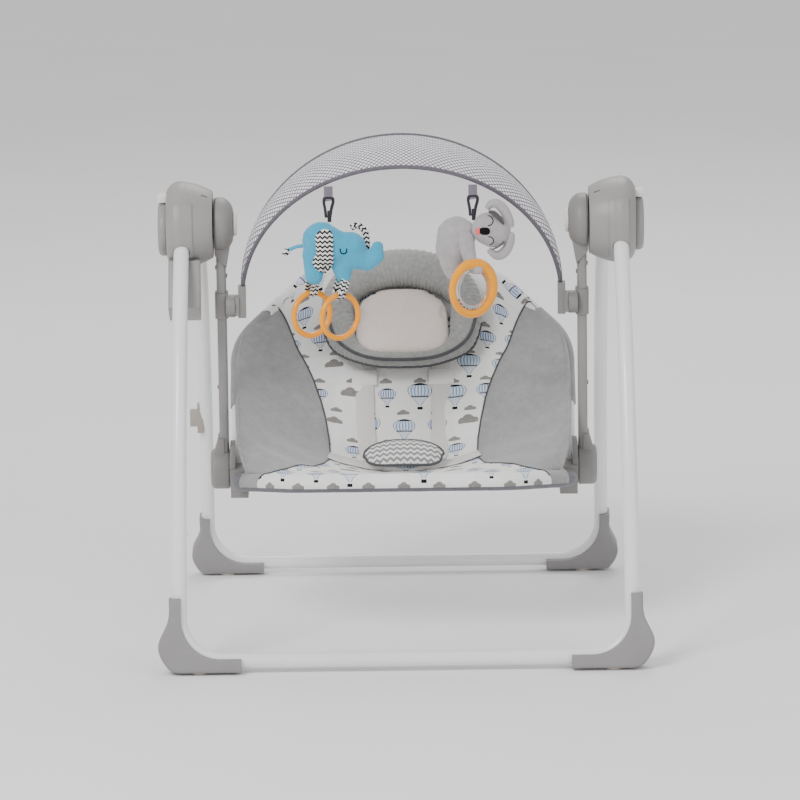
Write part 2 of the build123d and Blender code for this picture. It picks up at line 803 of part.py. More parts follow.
def seat_bracket():
    # Side plate that turns on the arm, with a block for the seat tubes.
    x_to = housing_in_x - bracket_gap
    plate = x_rod(x_to - bracket_thick, x_to, bracket_r, z=pivot_z)
    foot_block = block(seat_tube_x - 15, x_to - 1.5, -30, 34, pivot_z - 34, pivot_z + 4)
    neck = block(x_to - bracket_thick, x_to - 1, -20, 20, pivot_z, pivot_z + 34)
    body = plate + foot_block + neck
    body -= rod_sweep(front_route(), seat_tube_r + slip_fit)
    body -= rod_sweep(back_route(), seat_tube_r + slip_fit)
    return body + x_rod(x_to - 1, x_to + 13, pivot_pin_r, z=pivot_z)


def sling_band(half_width, gap, thickness):
    # A band that follows the sling's side view, gap above its upper face.
    low = offset_line(gap)
    high = offset_line(gap + thickness)
    return yz_plate(low + high[::-1], -half_width, half_width)


def offset_line(distance):
    points = []
    for index, (y, z) in enumerate(sling_line):
        before = sling_line[max(index - 1, 0)]
        after = sling_line[min(index + 1, len(sling_line) - 1)]
        run = Vector(after[0] - before[0], after[1] - before[1], 0).normalized()
        points.append((y - run.Y * distance, z + run.X * distance))
    return points


def seat_sling():
    # The cloth inside the front tube's corners, clear of the tube.
    cloth = sling_band(seat_tube_x - 20, -sling_thick, sling_thick)
    cloth -= rod_sweep(front_route(), seat_tube_r + cloth_gap)
    return max(cloth.solids(), key=lambda solid: solid.volume)


def side_wing():
    x = seat_tube_x - wing_inset
    outline = [(-118, 234), (-60, 262), (40, 318), (105, 342), (136, 344), (52, 256), (6, 222), (-60, 212)]
    return yz_plate(outline, x - wing_thick, x)


def headrest_plane(along, off):
    middle = back_point(0, along, off)
    angle = math.radians(back_angle_deg)
    return Plane(origin=middle, x_dir=(1, 0, 0), z_dir=(0, -math.sin(angle), math.cos(angle)))


def headrest_roll():
    # Thick over the head and thin under the neck, round the pad's hollow.
    outer = headrest_plane(headrest_along, headrest_off) * Ellipse(ring_half_width, ring_half_height)
    hollow = headrest_plane(headrest_along - pad_drop, headrest_off - 1)
    hollow *= Ellipse(hollow_half_width, hollow_half_height)
    return extrude(outer, amount=ring_height) - extrude(hollow, amount=ring_height + 2)


def headrest_pad():
    place = headrest_plane(headrest_along - pad_drop, headrest_off + 1.5)
    return extrude(place * Ellipse(hollow_half_width - 1, hollow_half_height - 1), amount=pad_thick)


def harness_straps():
    # Two shoulder straps and two waist straps of webbing.
    band = sling_band(strap_width / 2, 1.2, strap_thick)
    keep = block(-300, 300, -10, 150, 100, 600)
    shoulder = Pos(strap_x, 0, 0) * (band & keep)
    waist_x = strap_x + strap_width / 2 + 4
    waist = block(waist_x, seat_tube_x - 24, -20, 5, waist_z, waist_z + strap_thick)
    return Compound(children=[shoulder, left(shoulder), waist, left(waist)])


def strap_adjusters():
    place = Pos(strap_x, adjuster_y, adjuster_z) * Rot(back_angle_deg, 0, 0)
    return pair(place * Box(*adjuster_size))


def crotch_pad():
    body = fillet(Box(*crotch_size).edges().filter_by(Axis.Z), crotch_size[2])
    return Pos(0, crotch_y, crotch_z) * Rot(crotch_lean_deg, 0, 0) * body


def buckle_body():
    body = Pos(0, buckle_y, buckle_z) * Box(*buckle_size)
    body -= Pos(0, buckle_y, buckle_z + 6) * Box(18, 14, 10)
    return body


def buckle_button():
    return Pos(0, buckle_y, buckle_z + 6.5) * Box(17, 13, 5)


def leg_clip():
    # Clip-on catch on the outside of the left rear leg.
    arc = leg_route(rear_foot_x, rear_top_x, 1)[3]
    at = arc @ 0.19
    x, y, z = at.X, at.Y, at.Z
    body = block(x + rear_r - 5, x + rear_r + 3, y - 8, y + 8, z - 20, z + 20)
    body += block(x + rear_r + 2, x + rear_r + 13, y - 7, y + 7, z - 11, z + 11)
    return body - rod_sweep(arc, rear_r + slip_fit)


front = (front_foot_x, hub_x, -1)
rear = (rear_foot_x, rear_top_x, 1)

nodes = {
    "front_base_tube": base_tube(*front, front_r),
    "front_legs": pair(leg(*front, front_r)),
    "front_feet": pair(foot(*front, front_r, front_foot_length, front_foot_height, foot_flare)),
    "front_foot_pads": pair(foot_pad(front_foot_x, -1)),
    "front_leg_buttons": pair(snap_button(*front, front_r)),
    "hub_cores": pair(hub_core()),
    "shaft_bushes": Compound(children=[pair(shaft_bush(hub_face_x + hub_wall + 1)),
                                       pair(shaft_bush(parting_x - bush_length))]),
    "hub_front_panels": pair(front_panel()),
    "hub_side_caps": pair(side_cap()),
    "fold_button_right": button_box(0),
    "fold_button_left": left(button_box(0)),
    "power_inlet": left(power_inlet()),
    "battery_box": left(battery_box()),
    "battery_door": left(battery_door()),
    "battery_cells": left(battery_cells()),
    "drive_motor": left(drive_motor()),
    "gear_carrier": left(gear_post()),
    "circuit_board": left(circuit_board()),
    "motor_pinion": left(motor_pinion()),
    "drive_gear": left(drive_gear()),
    "rear_base_tube": base_tube(*rear, rear_r),
    "rear_legs": pair(leg(*rear, rear_r)),
    "rear_feet": pair(foot(*rear, rear_r, rear_foot_length, rear_foot_height, rear_foot_flare)),
    "rear_foot_pads": pair(foot_pad(rear_foot_x, 1)),
    "rear_leg_buttons": pair(snap_button(*rear, rear_r)),
    "rear_knuckles": pair(rear_knuckle()),
    "leg_clip": left(leg_clip()),
    "swing_shafts": pair(swing_shaft()),
    "drive_fork": left(drive_fork()),
    "arm_heads": pair(arm_head()),
    "sound_dial": dial(),
    "speed_dial": left(dial()),
    "swing_arms": pair(swing_arm()),
    "arm_rivets": Compound(children=arm_rivets() + [left(rivet) for rivet in arm_rivets()]),
    "pivot_housings": pair(pivot_housing()),
    "toy_bar_collars": pair(toy_bar_collar()),
    "toy_bar_holders": pair(toy_bar_holder()),
    "toy_bar_frame": bow_frame(0),
    "toy_bar_sleeve": toy_bar_sleeve(),
    "elephant_hook": left(toy_hook()),
    "elephant_toy": elephant(),
    "elephant_ring_left": teether(left_ring.X, left_ring.Y, left_ring.Z, small_ring_r),
    "elephant_ring_right": teether(right_ring.X, right_ring.Y, right_ring.Z, small_ring_r),
    "koala_hook": toy_hook(),
    "koala_toy": koala(),
    "koala_ring": koala_ring(),
    "seat_brackets": pair(seat_bracket()),
    "seat_front_tube": ring_sweep(front_route(), seat_tube_r, seat_tube_wall),
    "seat_back_tube": ring_sweep(back_route(), seat_tube_r, seat_tube_wall),
    "seat_sling": seat_sling(),
    "side_wings": pair(side_wing()),
    "headrest_roll": headrest_roll(),
    "headrest_pad": headrest_pad(),
    "harness_straps": harness_straps(),
    "strap_adjusters": strap_adjusters(),
    "crotch_pad": crotch_pad(),
    "buckle": buckle_body(),
    "buckle_button": buckle_button(),
}

hub_shell = hub_hollow() - button_box(button_gap, button_travel)
inner_half = block(hub_face_x - 1, parting_x, -80, 80, hub_z - 80, hub_z + 80)
outer_half = block(parting_x, hub_out_x + 1, -80, 80, hub_z - 80, hub_z + 80)
nodes["hub_inner_shells"] = pair(hub_shell & inner_half)
outer_shell = hub_shell & outer_half
inlet_hole = inlet_place() * Cylinder(inlet_r, 40)
nodes["hub_outer_shells"] = Compound(children=[outer_shell, left(outer_shell - inlet_hole)])

os.makedirs("parts", exist_ok=True)
for name, shape in nodes.items():
    export_step(shape, f"parts/{name}.step")
print(len(nodes), "nodes written")
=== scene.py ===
import json
import math
import bpy
import bmesh
from mathutils import Matrix, Vector, noise


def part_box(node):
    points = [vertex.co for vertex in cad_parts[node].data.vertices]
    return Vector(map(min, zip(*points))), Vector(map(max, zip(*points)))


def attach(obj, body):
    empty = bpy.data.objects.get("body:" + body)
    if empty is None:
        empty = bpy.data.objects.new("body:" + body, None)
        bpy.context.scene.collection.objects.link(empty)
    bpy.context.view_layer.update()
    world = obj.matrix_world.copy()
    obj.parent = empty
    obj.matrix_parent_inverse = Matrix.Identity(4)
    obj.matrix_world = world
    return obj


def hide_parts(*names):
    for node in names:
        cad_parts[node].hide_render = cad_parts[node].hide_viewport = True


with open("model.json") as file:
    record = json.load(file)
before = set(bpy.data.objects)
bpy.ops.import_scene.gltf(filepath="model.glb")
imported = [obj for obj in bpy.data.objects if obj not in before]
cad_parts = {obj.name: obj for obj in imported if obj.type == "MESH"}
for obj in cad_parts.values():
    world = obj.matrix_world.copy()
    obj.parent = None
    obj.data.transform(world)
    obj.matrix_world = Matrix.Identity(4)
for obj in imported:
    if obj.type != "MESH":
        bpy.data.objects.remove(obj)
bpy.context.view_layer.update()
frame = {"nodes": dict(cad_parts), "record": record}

bodyOf = {}
for bodyName, members in frame["record"]["behaviour"]["bodies"].items():
    for member in members:
        bodyOf[member] = bodyName
print("frame loaded:", len(frame["nodes"]), "nodes")


# camera: a long lens, a little above the toy bar

camData = bpy.data.cameras.new("studioCamera")
camData.lens = 245
camData.sensor_width = 36
camData.clip_end = 60
cam = bpy.data.objects.new("studioCamera", camData)
cam.location = (-0.0042, -7.0885, 1.7535)
camPitch = Matrix.Rotation(math.radians(90 - 11.589), 3, "X")
camRoll = Matrix.Rotation(math.radians(-0.75), 3, "Z")
cam.rotation_euler = (camPitch @ camRoll).to_euler()
bpy.context.scene.collection.objects.link(cam)
bpy.context.scene.camera = cam


# ---- materials

def linear(hexText):
    parts = [int(hexText[i:i + 2], 16) / 255 for i in (1, 3, 5)]
    return [p / 12.92 if p <= 0.04045 else ((p + 0.055) / 1.055) ** 2.4 for p in parts] + [1]


def add(tree, kind, inputs=None, **settings):
    made = tree.nodes.new("ShaderNode" + kind)
    for key, value in settings.items():
        setattr(made, key, value)
    for key, value in (inputs or {}).items():
        if hasattr(value, "outputs"):
            value = value.outputs[0]
        if isinstance(value, bpy.types.NodeSocket):
            tree.links.new(value, made.inputs[key])
        else:
            made.inputs[key].default_value = value
    return made


def newMaterial(name, **shaderValues):
    made = bpy.data.materials.new(name)
    made.use_nodes = True
    tree = made.node_tree
    tree.nodes.clear()
    shader = add(tree, "BsdfPrincipled", {k.replace("_", " "): v for k, v in shaderValues.items()})
    add(tree, "OutputMaterial", {"Surface": shader})
    return made, tree, shader


def blendColour(tree, amount, low, high):
    low = linear(low) if isinstance(low, str) else low
    high = linear(high) if isinstance(high, str) else high
    return add(tree, "Mix", {0: amount, 6: low, 7: high}, data_type="RGBA").outputs[2]


def calc(tree, operation, first, second=0.0, third=0.0):
    return add(tree, "Math", {0: first, 1: second, 2: third}, operation=operation).outputs[0]


# moulded plastic: satin sheen, spark-eroded grain and a faint drift in tone
def mouldedPlastic(name, dark, light, roughness=0.42, grain=0.1):
    made, tree, shader = newMaterial(name, Specular_IOR_Level=0.45)
    place = add(tree, "TexCoord").outputs["Object"]
    drift = add(tree, "TexNoise", {"Vector": place, "Scale": 14.0, "Detail": 4.0})
    spark = add(tree, "TexNoise", {"Vector": place, "Scale": 1500.0, "Detail": 2.0})
    tree.links.new(blendColour(tree, drift, dark, light), shader.inputs["Base Color"])
    rough = add(tree, "MapRange", {"Value": drift, "To Min": roughness - 0.06, "To Max": roughness + 0.08})
    tree.links.new(rough.outputs[0], shader.inputs["Roughness"])
    bump = add(tree, "Bump", {"Strength": grain, "Distance": 0.0003, "Height": spark})
    tree.links.new(bump.outputs[0], shader.inputs["Normal"])
    return made


# powder coat: bright white with orange peel under a thin gloss
def powderCoat(name, dark, light):
    made, tree, shader = newMaterial(name, Roughness=0.3, Coat_Weight=0.35, Coat_Roughness=0.12)
    place = add(tree, "TexCoord").outputs["Object"]
    peel = add(tree, "TexNoise", {"Vector": place, "Scale": 420.0, "Detail": 2.0})
    drift = add(tree, "TexNoise", {"Vector": place, "Scale": 8.0, "Detail": 3.0})
    tree.links.new(blendColour(tree, drift, dark, light), shader.inputs["Base Color"])
    bump = add(tree, "Bump", {"Strength": 0.12, "Distance": 0.0006, "Height": peel})
    tree.links.new(bump.outputs[0], shader.inputs["Normal"])
    return made


# brushed pile: soft fibres that catch light at the rim, with heather flecks
def softPile(name, dark, light, fibre=900.0, fleck=120.0, bumpiness=0.5, sheen=0.35):
    made, tree, shader = newMaterial(name, Roughness=0.92, Sheen_Weight=sheen, Sheen_Roughness=0.5,
                                     Specular_IOR_Level=0.2)
    place = add(tree, "TexCoord").outputs["Object"]
    flecks = add(tree, "TexNoise", {"Vector": place, "Scale": fleck, "Detail": 8.0, "Roughness": 0.7})
    wide = add(tree, "TexNoise", {"Vector": place, "Scale": 18.0, "Detail": 3.0})
    amount = add(tree, "MapRange", {"Value": flecks, "From Min": 0.3, "From Max": 0.7})
    tone = calc(tree, "MULTIPLY_ADD", amount.outputs[0], 0.65, calc(tree, "MULTIPLY", wide, 0.35))
    tree.links.new(blendColour(tree, tone, dark, light), shader.inputs["Base Color"])
    fibres = add(tree, "TexNoise", {"Vector": place, "Scale": fibre, "Detail": 3.0})
    bump = add(tree, "Bump", {"Strength": bumpiness, "Distance": 0.0008, "Height": fibres})
    tree.links.new(bump.outputs[0], shader.inputs["Normal"])
    return made


def uvMillimetres(tree):
    uv = add(tree, "UVMap").outputs[0]
    scaled = add(tree, "VectorMath", {0: uv, "Scale": 1000.0}, operation="SCALE").outputs[0]
    parts = add(tree, "SeparateXYZ", {0: scaled})
    return parts.outputs[0], parts.outputs[1]


# woven bump over a metric UV, for cotton, webbing and mesh
def weaveBump(tree, shader, across, along, pitch, strength):
    over = calc(tree, "SINE", calc(tree, "MULTIPLY", across, math.tau / pitch))
    under = calc(tree, "SINE", calc(tree, "MULTIPLY", along, math.tau / pitch))
    height = calc(tree, "MULTIPLY", over, under)
    bump = add(tree, "Bump", {"Strength": strength, "Distance": 0.0004, "Height": height})
    tree.links.new(bump.outputs[0], shader.inputs["Normal"])


# belt webbing: raised ribs along the strap, slightly yellowed white, with painted highlight on the rib crests
# and painted shade in the troughs
def webbing(name, dark, light, pitch=1.6):
    made, tree, shader = newMaterial(name, Roughness=0.7, Sheen_Weight=0.15)
    across, along = uvMillimetres(tree)
    slanted = calc(tree, "ADD", across, calc(tree, "MULTIPLY", along, 0.5))
    # colour follows the ribs: painted highlight on each crest, painted shade in each trough
    ribLightAndShade = calc(tree, "SINE", calc(tree, "MULTIPLY", slanted, math.tau / pitch))
    amount = calc(tree, "MULTIPLY_ADD", ribLightAndShade, 0.5, 0.5)
    tree.links.new(blendColour(tree, amount, dark, light), shader.inputs["Base Color"])
    weaveBump(tree, shader, slanted, along, pitch, 0.5)
    return made


# chevron cotton: crisp black and white zigzag rows
def zigzagCotton(name, dark, light, row=6.0, wave=6.2, swing=1.7):
    made, tree, shader = newMaterial(name, Roughness=0.85, Sheen_Weight=0.1)
    across, along = uvMillimetres(tree)
    tri = calc(tree, "PINGPONG", across, wave / 2)
    height = calc(tree, "MULTIPLY_ADD", tri, swing / (wave / 2) * 1.6, along)
    band = calc(tree, "FRACT", calc(tree, "DIVIDE", height, row))
    amount = calc(tree, "GREATER_THAN", band, 0.5)
    tree.links.new(blendColour(tree, amount, dark, light), shader.inputs["Base Color"])
    weaveBump(tree, shader, across, along, 0.7, 0.4)
    return made


# open mesh: white diamonds between grey yarns
def diamondMesh(name, yarn, gap):
    made, tree, shader = newMaterial(name, Roughness=0.75, Sheen_Weight=0.2)
    across, along = uvMillimetres(tree)
    a = calc(tree, "DIVIDE", across, 7.0)
    b = calc(tree, "DIVIDE", along, 4.6)
    first = calc(tree, "PINGPONG", calc(tree, "ADD", a, b), 0.5)
    second = calc(tree, "PINGPONG", calc(tree, "SUBTRACT", a, b), 0.5)
    edge = calc(tree, "MINIMUM", first, second)
    fuzz = add(tree, "TexNoise", {"Vector": add(tree, "TexCoord").outputs["Object"], "Scale": 60.0})
    edge = calc(tree, "ADD", edge, calc(tree, "MULTIPLY", calc(tree, "SUBTRACT", fuzz, 0.5), 0.05))
    amount = add(tree, "MapRange", {"Value": edge, "From Min": 0.09, "From Max": 0.17}).outputs[0]
    tree.links.new(blendColour(tree, amount, yarn, gap), shader.inputs["Base Color"])
    yarnHeight = calc(tree, "SUBTRACT", 1.0, amount)
    bump = add(tree, "Bump", {"Strength": 0.8, "Distance": 0.0006, "Height": yarnHeight})
    tree.links.new(bump.outputs[0], shader.inputs["Normal"])
    return made


# one cloud: three round puffs on a flat base, in millimetres
def cloudMask(tree, x, y):
    puffs = []
    for centreX, centreY, radius in [(-8.0, 0.0, 6.5), (0.0, 3.5, 8.0), (9.0, 0.0, 6.0)]:
        dx = calc(tree, "SUBTRACT", x, centreX)
        dy = calc(tree, "SUBTRACT", y, centreY)
        squares = calc(tree, "ADD", calc(tree, "MULTIPLY", dx, dx), calc(tree, "MULTIPLY", dy, dy))
        puffs.append(calc(tree, "SUBTRACT", calc(tree, "SQRT", squares), radius))
    edge = calc(tree, "MINIMUM", calc(tree, "MINIMUM", puffs[0], puffs[1]), puffs[2])
    return calc(tree, "MULTIPLY", calc(tree, "LESS_THAN", edge, 0.0), calc(tree, "GREATER_THAN", y, -4.0))


def wrapCentred(tree, value, period):
    share = calc(tree, "FRACT", calc(tree, "DIVIDE", value, period))
    return calc(tree, "MULTIPLY", calc(tree, "SUBTRACT", share, 0.5), period)


# printed cotton: scattered air balloons and little clouds on a white weave
def printedCotton(name, sizes):
    made, tree, shader = newMaterial(name, Roughness=0.88, Sheen_Weight=0.12, Specular_IOR_Level=0.25)
    across, along = uvMillimetres(tree)
    row = calc(tree, "FLOOR", calc(tree, "DIVIDE", along, sizes["rowHeight"]))
    odd = calc(tree, "FRACT", calc(tree, "MULTIPLY", row, 0.5))
    shift = calc(tree, "MULTIPLY", odd, sizes["columnWidth"])
    x = calc(tree, "ADD", across, shift)
    column = calc(tree, "FLOOR", calc(tree, "DIVIDE", x, sizes["columnWidth"]))
    cell = add(tree, "CombineXYZ", {0: column, 1: row, 2: sizes["seed"]})
    chance = add(tree, "TexWhiteNoise", {"Vector": cell}, noise_dimensions="3D")
    dice = add(tree, "SeparateColor", {0: chance.outputs["Color"]})
    grow = calc(tree, "MULTIPLY_ADD", dice.outputs[2], 0.28, 0.6)
    cellX = calc(tree, "MULTIPLY", calc(tree, "ADD", column, 0.5), sizes["columnWidth"])
    cellY = calc(tree, "MULTIPLY", calc(tree, "ADD", row, 0.5), sizes["rowHeight"])
    x = calc(tree, "SUBTRACT", x, cellX)
    y = calc(tree, "SUBTRACT", along, cellY)
    x = calc(tree, "MULTIPLY_ADD", calc(tree, "SUBTRACT", dice.outputs[0], 0.5), sizes["strayX"], x)
    y = calc(tree, "MULTIPLY_ADD", calc(tree, "SUBTRACT", dice.outputs[1], 0.5), sizes["strayY"], y)
    x = calc(tree, "DIVIDE", x, grow)
    y = calc(tree, "DIVIDE", calc(tree, "SUBTRACT", y, 4.0), grow)
    side = calc(tree, "ABSOLUTE", x)
    # envelope of the balloon: its half width against its height
    rise = calc(tree, "DIVIDE", calc(tree, "ADD", y, 22.0), 42.0)
    curve = add(tree, "FloatCurve", {"Value": rise})
    line = curve.mapping.curves[0]
    for at in [(0.25, 0.42), (0.48, 0.86), (0.68, 1.0), (0.86, 0.82), (0.96, 0.42)]:
        line.points.new(*at)
    line.points[0].location = (0, 0.12)
    line.points[-1].location = (1, 0)
    curve.mapping.update()
    half = calc(tree, "MULTIPLY", curve, 19.0)
    aboveBase = calc(tree, "GREATER_THAN", rise, 0.0)
    inHeight = calc(tree, "MULTIPLY", aboveBase, calc(tree, "LESS_THAN", rise, 1.0))
    envelope = calc(tree, "MULTIPLY", calc(tree, "LESS_THAN", side, half), inHeight)
    around = calc(tree, "DIVIDE", x, calc(tree, "MAXIMUM", half, 1.0))
    gore = calc(tree, "FRACT", calc(tree, "MULTIPLY_ADD", around, 3.5, 0.25))
    stripe = calc(tree, "GREATER_THAN", gore, 0.5)
    upper = calc(tree, "GREATER_THAN", rise, 0.44)
    blues = blendColour(tree, dice.outputs[2], "#6a7db4", "#89aecf")
    strength = calc(tree, "MULTIPLY", stripe, calc(tree, "MULTIPLY_ADD", upper, 0.6, 0.4))
    stripes = blendColour(tree, strength, "#e6eaf2", blues)
    rim = calc(tree, "LESS_THAN", calc(tree, "ABSOLUTE", calc(tree, "SUBTRACT", side, half)), 0.8)
    cap = calc(tree, "GREATER_THAN", rise, 0.9)
    wave = calc(tree, "SINE", calc(tree, "MULTIPLY", x, 0.75))
    scallop = calc(tree, "MULTIPLY", calc(tree, "ABSOLUTE", wave), 1.6)
    flag = calc(tree, "ABSOLUTE", calc(tree, "ADD", calc(tree, "ADD", y, 4.0), scallop))
    bunting = calc(tree, "LESS_THAN", flag, 1.2)
    dark = calc(tree, "MAXIMUM", calc(tree, "MAXIMUM", rim, cap), bunting)
    basket = calc(tree, "MULTIPLY", calc(tree, "LESS_THAN", side, 4.2),
                  calc(tree, "LESS_THAN", calc(tree, "ABSOLUTE", calc(tree, "ADD", y, 26.5)), 2.6))
    balloon = blendColour(tree, envelope, "#f0efed", blendColour(tree, dark, stripes, "#070c1f"))
    balloon = blendColour(tree, basket, balloon, "#050712")
    # clouds: some in place of a balloon, small ones in between
    place = add(tree, "TexCoord").outputs["Object"]
    grains = add(tree, "TexNoise", {"Vector": place, "Scale": 260.0, "Detail": 4.0})
    chalk = blendColour(tree, grains, "#6f6c69", "#a09c98")
    large = cloudMask(tree, calc(tree, "MULTIPLY", x, 0.9), calc(tree, "MULTIPLY", y, 0.9))
    isCloud = calc(tree, "GREATER_THAN", chance.outputs["Value"], sizes["balloonShare"])
    main = blendColour(tree, isCloud, balloon, blendColour(tree, large, "#f5f4f3", chalk))
    betweenX = calc(tree, "ADD", calc(tree, "ADD", across, shift), sizes["columnWidth"] * 0.5)
    betweenX = wrapCentred(tree, betweenX, sizes["columnWidth"])
    betweenY = calc(tree, "ADD", along, sizes["rowHeight"] * 0.46)
    betweenY = wrapCentred(tree, betweenY, sizes["rowHeight"])
    small = cloudMask(tree, calc(tree, "MULTIPLY", betweenX, 1.75), calc(tree, "MULTIPLY", betweenY, 1.9))
    free = calc(tree, "SUBTRACT", 1.0, calc(tree, "MAXIMUM", envelope, basket))
    small = calc(tree, "MULTIPLY", small, calc(tree, "MAXIMUM", free, isCloud))
    tree.links.new(blendColour(tree, small, main, chalk), shader.inputs["Base Color"])
    weaveBump(tree, shader, across, along, 0.6, 0.3)
    return made


hubPlastic = mouldedPlastic("hub_plastic_light_grey", "#898684", "#9d9b98")
headPlastic = mouldedPlastic("head_plastic_mid_grey", "#797774", "#8d8a88", 0.46)
armPlastic = mouldedPlastic("arm_plastic_grey", "#807e7c", "#94928f", 0.4)
footPlastic = mouldedPlastic("foot_plastic_grey", "#827f7f", "#959393", 0.5, 0.14)
# near-black: the buckle's own dark plastic, and painted shade on the internal parts set in the hub's recesses
darkPlasticAndRecessShade = mouldedPlastic("dark_plastic_and_recess_shade", "#181719", "#252427", 0.5)
clipPlastic = mouldedPlastic("clip_plastic_warm_grey", "#958d83", "#aaa197", 0.5)
whitePlastic = mouldedPlastic("button_plastic_white", "#dad9d6", "#eceae7", 0.34)
padRubber = mouldedPlastic("pad_rubber_cream", "#beb5a4", "#cfc7b8", 0.6)
whiteSteel = powderCoat("powder_coat_white", "#e4e4e6", "#f2f2f3")
bareSteel = mouldedPlastic("zinc_steel", "#6a6a6b", "#848485", 0.3, 0.02)
wingVelour = softPile("wing_velour_grey", "#898889", "#a2a1a1", 700, 90, 0.35)
bandKnit = softPile("band_knit_dark_grey", "#5c5c62", "#727278", 900, 200, 0.5, 0.25)
rollHeather = softPile("headrest_heather_grey", "#7c7c79", "#a6a6a4", 800, 160, 0.5, 0.4)
pipingKnit = softPile("piping_dark_grey", "#414244", "#58595b", 900, 200, 0.5, 0.2)
padMesh = softPile("spacer_mesh_cream", "#d8cbc3", "#e9dfd8", 1100, 300, 0.7, 0.3)
sleeveBinding = softPile("binding_lilac_grey", "#58535b", "#6f6972", 900, 220, 0.4, 0.2)
hookStrap = softPile("hook_strap_charcoal", "#26242a", "#3a383e", 900, 260, 0.4, 0.1)
elephantPlush = softPile("plush_sky_blue", "#2f94b9", "#44a9cc", 650, 110, 0.6, 0.5)
koalaPlush = softPile("plush_pale_grey", "#989497", "#b2aeb1", 650, 110, 0.6, 0.5)
koalaEarShadow = softPile("plush_shadow_grey", "#423e40", "#5b5759", 650, 110, 0.6, 0.3)
blackThread = softPile("embroidery_black", "#020202", "#09090c", 1500, 500, 0.5, 0.1)
pinkFelt = softPile("felt_pink", "#e65959", "#f27774", 900, 300, 0.4, 0.3)
yellowPlastic = mouldedPlastic("ring_plastic_yellow", "#f08e00", "#ffa903", 0.22, 0.03)
yellowPlush = softPile("ring_fabric_yellow", "#ed8d01", "#ffad0a", 700, 90, 0.4, 0.4)
strapWebbing = webbing("webbing_white", "#c7c4be", "#edece7")
tabWebbing = webbing("webbing_lilac_grey", "#67606b", "#827a85", 1.4)
earCotton = zigzagCotton("chevron_cotton_black_white", "#030303", "#efedea")
crotchCotton = zigzagCotton("chevron_cotton_grey_white", "#868689", "#eae9e6", 8.0, 9.0, 2.4)
sleeveMesh = diamondMesh("diamond_mesh_grey_white", "#67616b", "#edeaef")
printSizes = dict(rowHeight=50.0, columnWidth=46.0, strayX=8.0, strayY=7.0, seed=7.0, balloonShare=0.74)
seatCotton = printedCotton("printed_cotton_balloons", printSizes)

# clear styrene: glassy, with only a trace of haze
clearPlastic, clearTree, clearShader = newMaterial("rattle_clear_plastic", Transmission_Weight=0.9,
                                                   Roughness=0.06, IOR=1.45)
clearNoise = add(clearTree, "TexNoise", {"Scale": 30.0})
clearTint = blendColour(clearTree, clearNoise, "#eff2f3", "#ffffff")
clearTree.links.new(clearTint, clearShader.inputs["Base Color"])
print("materials:", len(bpy.data.materials))


# ---- mesh helpers

def finishMesh(made, name, material, angle=40):
    for other in bpy.context.selected_objects:
        other.select_set(False)
    bpy.context.view_layer.objects.active = made
    made.select_set(True)
    made.name = name
    made.data.name = name
    made.data.materials.clear()
    made.data.materials.append(material)
    bpy.ops.object.shade_smooth_by_angle(angle=math.radians(angle))
    made.select_set(False)
    return made


def applyAll(made):
    for other in bpy.context.selected_objects:
        other.select_set(False)
    bpy.context.view_layer.objects.active = made
    made.select_set(True)
    for modifier in list(made.modifiers):
        bpy.ops.object.modifier_apply(modifier=modifier.name)
    made.select_set(False)


def fromMesh(bm, name):
    mesh = bpy.data.meshes.new(name)
    bm.to_mesh(mesh)
    bm.free()
    made = bpy.data.objects.new(name, mesh)
    bpy.context.scene.collection.objects.link(made)
    return made


def gridPiece(name, rows, material, loopU=False, loopV=False, thick=0.0, uvRows=None, flip=False):
    bm = bmesh.new()
    layer = bm.loops.layers.uv.new("UVMap")
    verts = [[bm.verts.new(p) for p in row] for row in rows]
    countV, countU = len(rows), len(rows[0])
    for j in range(countV if loopV else countV - 1):
        for i in range(countU if loopU else countU - 1):
            corners = [(j, i), (j, i + 1), (j + 1, i + 1), (j + 1, i)]
            if flip:
                corners.reverse()
            face = bm.faces.new([verts[a % countV][b % countU] for a, b in corners])
            if uvRows:
                for loop, (a, b) in zip(face.loops, corners):
                    loop[layer].uv = uvRows[min(a, len(uvRows) - 1)][min(b, len(uvRows[0]) - 1)]
    made = fromMesh(bm, name)
    if thick:
        solid = made.modifiers.new("cloth", "SOLIDIFY")
        solid.thickness = thick
        solid.offset = 0
        applyAll(made)
    return finishMesh(made, name, material)


# runs a closed section along a path; sideways gives the section's first axis where it matters
def sweep(name, path, section, material, sideways=None, closed=False, scales=None):
    bm = bmesh.new()
    layer = bm.loops.layers.uv.new("UVMap")
    count = len(path)
    rings, runs, run = [], [], 0.0
    side = None
    for index, point in enumerate(path):
        before = path[index - 1] if index or closed else path[index]
        after = path[(index + 1) % count] if index < count - 1 or closed else path[index]
        tangent = (after - before).normalized()
        if sideways:
            side = sideways[index] if isinstance(sideways, list) else sideways
        elif side is None:
            side = tangent.orthogonal()
        side = (side - tangent * side.dot(tangent)).normalized()
        up = side.cross(tangent)
        grow = scales[index] if scales else 1.0
        rings.append([bm.verts.new(point + side * (a * grow) + up * (b * grow)) for a, b in section])
        if index:
            run += (point - path[index - 1]).length
        runs.append(run)
    around, girth = [0.0], 0.0
    for index in range(len(section)):
        a, b = section[index], section[(index + 1) % len(section)]
        girth += math.hypot(b[0] - a[0], b[1] - a[1])
        around.append(girth)
    total = run + ((path[0] - path[-1]).length if closed else 0)
    for j in range(count if closed else count - 1):
        for i in range(len(section)):
            k = (i + 1) % len(section)
            onward = rings[(j + 1) % count]
            face = bm.faces.new([rings[j][i], rings[j][k], onward[k], onward[i]])
            nextRun = runs[j + 1] if j + 1 < count else total
            near, far = around[i], around[i + 1]
            uvs = [(near, runs[j]), (far, runs[j]), (far, nextRun), (near, nextRun)]
            for loop, uv in zip(face.loops, uvs):
                loop[layer].uv = uv
    if not closed:
        bm.faces.new(list(reversed(rings[0])))
        bm.faces.new(rings[-1])
    bmesh.ops.recalc_face_normals(bm, faces=bm.faces)
    return finishMesh(fromMesh(bm, name), name, material)


def circle(count):
    return [math.tau * i / count for i in range(count)]


